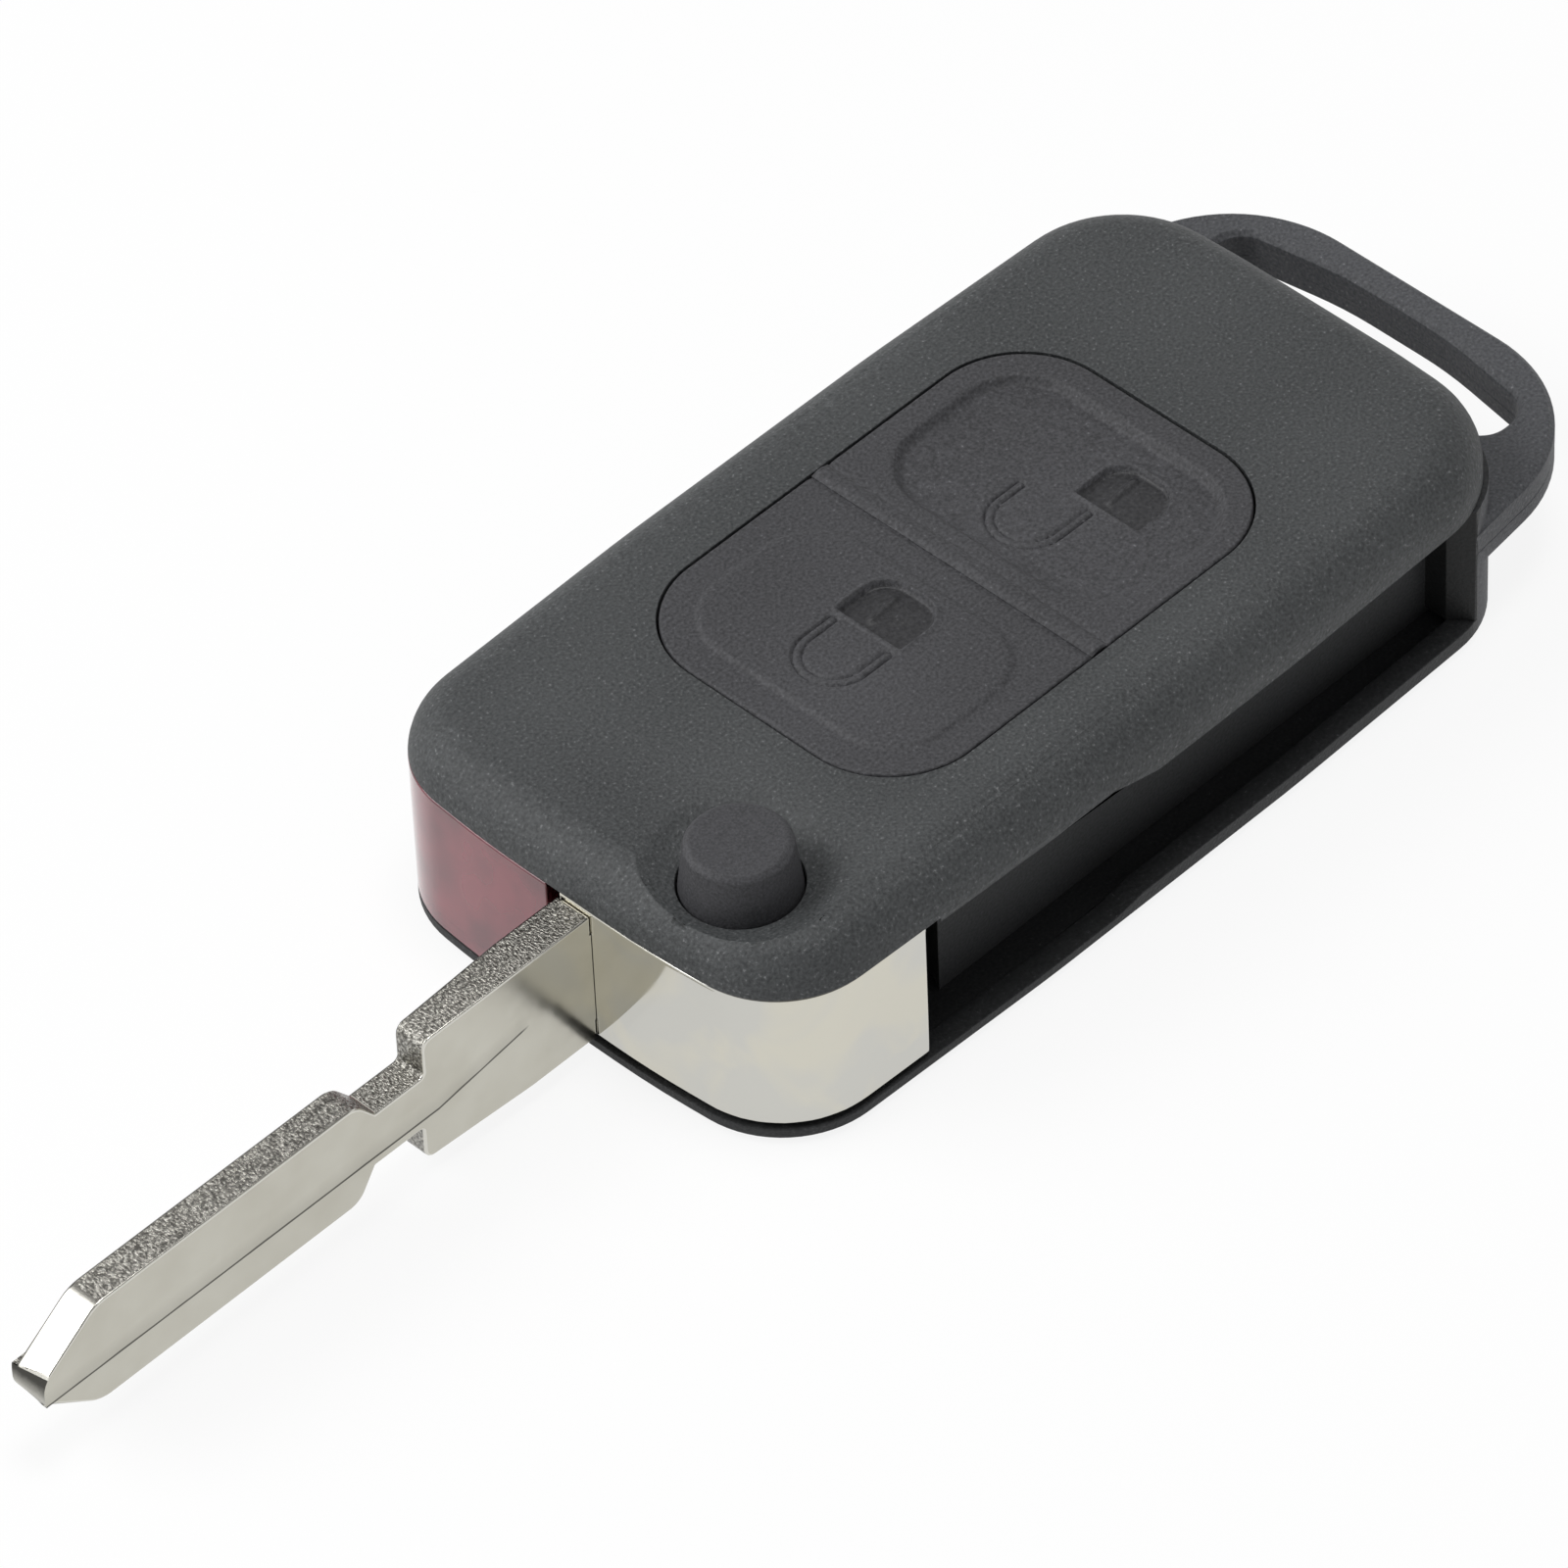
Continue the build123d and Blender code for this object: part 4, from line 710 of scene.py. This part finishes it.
coil = add_node(coil_tree, "GeometryNodeRealizeInstances", {"Geometry": coil})
coil = add_node(coil_tree, "GeometryNodeSetMaterial", {"Geometry": coil, "Material": given["Wire"]})
coil_tree.links.new(coil, coil_tree.nodes.new("NodeGroupOutput").inputs["Geometry"])


def grow(name, node_tree, values, mesh=None):
    """Plain mesh object that one Geometry Nodes tree makes with the given inputs."""
    seed = bpy.data.objects.new(name + "_seed", mesh or bpy.data.meshes.new(name + "_seed"))
    scene.collection.objects.link(seed)
    modifier = seed.modifiers.new("maker", "NODES")
    modifier.node_group = node_tree
    for identifier, value in values.items():
        modifier[identifier] = value
    made = bpy.data.meshes.new_from_object(seed.evaluated_get(bpy.context.evaluated_depsgraph_get()))
    bpy.data.objects.remove(seed)
    made.shade_smooth()
    made.set_sharp_from_angle(angle=radians(40))
    piece = bpy.data.objects.new(name, made)
    scene.collection.objects.link(piece)
    return piece


springs = {}
for node, coil_radius, wire_radius, low_z, high_z, turns, inner_leg, outer_leg in (
        ("flip_spring", 3.05, 0.29, 3.55, 8.3, 5.5, 3.0, 1.0),
        ("button_spring", 1.95, 0.19, 4.82, 14.75, 8.0, 0.05, 0.05)):
    springs[node] = grow(node + "_coil", coil_tree, {
        sizes["Coil Radius"]: coil_radius * mm, sizes["Wire Radius"]: wire_radius * mm,
        sizes["Height"]: (high_z - low_z) * mm, sizes["Turns"]: turns,
        sizes["Inner Leg"]: inner_leg * mm, sizes["Outer Leg"]: outer_leg * mm,
        sizes["Foot"]: (pivot_x * mm, pivot_y * mm, low_z * mm), sizes["Wire"]: steel_wire})
    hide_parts(node)
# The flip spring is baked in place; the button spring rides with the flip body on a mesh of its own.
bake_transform(springs["flip_spring"])
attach(springs["button_spring"], "flip")
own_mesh(springs["button_spring"])


# Case screws: three thread-forming screws driven up through the deck into the shell's bosses.
# Cold-headed steel, zinc plated: bright with a faint blue-grey bloom, a cross recess, and a coarse thread.
steel_zinc, tree, shader, place = new_finish("steel_zinc_plated", "#a9adb2", Metallic=1.0)
bloom_mm = 0.4
bloom = add_node(tree, "ShaderNodeTexNoise", {"Vector": place, "Scale": 1 / (bloom_mm * mm), "Detail": 4.0})
bloom = add_node(tree, "ShaderNodeMapRange", {"Value": bloom, "To Min": 0.2, "To Max": 0.45})
tree.links.new(bloom, shader.inputs["Roughness"])
screw_tree = bpy.data.node_groups.new("case_screw", "GeometryNodeTree")
screw_tree.interface.new_socket("Geometry", in_out="OUTPUT", socket_type="NodeSocketGeometry")
screw_tree.interface.new_socket("Geometry", in_out="INPUT", socket_type="NodeSocketGeometry")
sizes = {name: screw_tree.interface.new_socket(name, in_out="INPUT", socket_type="NodeSocketFloat").identifier
         for name in ("Head Radius", "Head Height", "Core Radius", "Thread Depth", "Length", "Turns")}
sizes["Plating"] = screw_tree.interface.new_socket("Plating", in_out="INPUT",
                                                   socket_type="NodeSocketMaterial").identifier
given = screw_tree.nodes.new("NodeGroupInput").outputs
half_head = add_node(screw_tree, "ShaderNodeMath", {0: given["Head Height"], 1: -0.5}, operation="MULTIPLY")
half_shank = add_node(screw_tree, "ShaderNodeMath", {0: given["Length"], 1: 0.5}, operation="MULTIPLY")
head_place = add_node(screw_tree, "ShaderNodeCombineXYZ", {"Z": half_head})
shank_place = add_node(screw_tree, "ShaderNodeCombineXYZ", {"Z": half_shank})
cap = add_node(screw_tree, "GeometryNodeMeshCylinder", {"Vertices": 32, "Radius": given["Head Radius"],
                                                        "Depth": given["Head Height"]})
cap = add_node(screw_tree, "GeometryNodeTransform", {"Geometry": cap, "Translation": head_place})
recess_place = add_node(screw_tree, "ShaderNodeCombineXYZ", {
    "Z": add_node(screw_tree, "ShaderNodeMath", {0: given["Head Height"], 1: -1.0}, operation="MULTIPLY")})
bar_width, bar_length, bar_depth = 0.6 * mm, 1.8 * mm, 1.2 * mm
bars = []
for long_axis in (0, 1):
    lengths = [bar_width, bar_width, bar_depth]
    lengths[long_axis] = bar_length
    bar = add_node(screw_tree, "GeometryNodeMeshCube", {"Size": lengths})
    bars.append(add_node(screw_tree, "GeometryNodeTransform", {"Geometry": bar, "Translation": recess_place}))
cut = screw_tree.nodes.new("GeometryNodeMeshBoolean")
cut.operation = "DIFFERENCE"
screw_tree.links.new(cap, cut.inputs[0])
for bar in bars:
    screw_tree.links.new(bar, cut.inputs[1])
core = add_node(screw_tree, "GeometryNodeMeshCylinder", {"Vertices": 20, "Radius": given["Core Radius"],
                                                         "Depth": given["Length"]})
core = add_node(screw_tree, "GeometryNodeTransform", {"Geometry": core, "Translation": shank_place})
turning = add_node(screw_tree, "GeometryNodeCurveSpiral", {"Resolution": 20, "Rotations": given["Turns"],
                                                           "Start Radius": given["Core Radius"],
                                                           "End Radius": given["Core Radius"],
                                                           "Height": given["Length"]})
crest = add_node(screw_tree, "GeometryNodeCurvePrimitiveCircle", {"Resolution": 3,
                                                                  "Radius": given["Thread Depth"]})
thread = add_node(screw_tree, "GeometryNodeCurveToMesh", {"Curve": turning, "Profile Curve": crest,
                                                          "Fill Caps": True})
whole = screw_tree.nodes.new("GeometryNodeJoinGeometry")
for part in (cut.outputs[0], core, thread):
    screw_tree.links.new(part, whole.inputs[0])
placed = add_node(screw_tree, "GeometryNodeInstanceOnPoints", {"Points": given["Geometry"],
                                                               "Instance": whole.outputs[0]})
placed = add_node(screw_tree, "GeometryNodeRealizeInstances", {"Geometry": placed})
placed = add_node(screw_tree, "GeometryNodeSetMaterial", {"Geometry": placed, "Material": given["Plating"]})
screw_tree.links.new(placed, screw_tree.nodes.new("NodeGroupOutput").inputs["Geometry"])
screw_points = bpy.data.meshes.new("screw_points")
seat_z = 5.4
screw_places = ((24.0, 8.6), (24.0, -7.2), (-19.6, 11.4))
screw_points.from_pydata([(x * mm, y * mm, seat_z * mm) for x, y in screw_places], [], [])
screws = grow("case_screw_set", screw_tree, {
    sizes["Head Radius"]: 1.88 * mm, sizes["Head Height"]: 1.2 * mm, sizes["Core Radius"]: 0.82 * mm,
    sizes["Thread Depth"]: 0.17 * mm, sizes["Length"]: 5.5 * mm, sizes["Turns"]: 9.0,
    sizes["Plating"]: steel_zinc}, screw_points)
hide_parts("case_screws")
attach(screws, "housing")


# Battery contacts: two strips of spring brass, stamped and bent, which touch the cells.
# Rolling leaves fine lines along the strip and a pale yellow satin.
brass_rolled, tree, shader, place = new_finish("brass_rolled_strip", "#c8b277", Metallic=1.0)
roll_mm, roll_stretch = 0.12, 0.04
lines = add_node(tree, "ShaderNodeMapping", {"Vector": place, "Scale": (roll_stretch, 1, 1)})
lines = add_node(tree, "ShaderNodeTexNoise", {"Vector": lines, "Scale": 1 / (roll_mm * mm), "Detail": 3.0})
satin = add_node(tree, "ShaderNodeMapRange", {"Value": lines, "To Min": 0.2, "To Max": 0.42})
tree.links.new(satin, shader.inputs["Roughness"])
for node in ("battery_contact_plus", "battery_contact_minus"):
    dress(node, "housing", [brass_rolled])
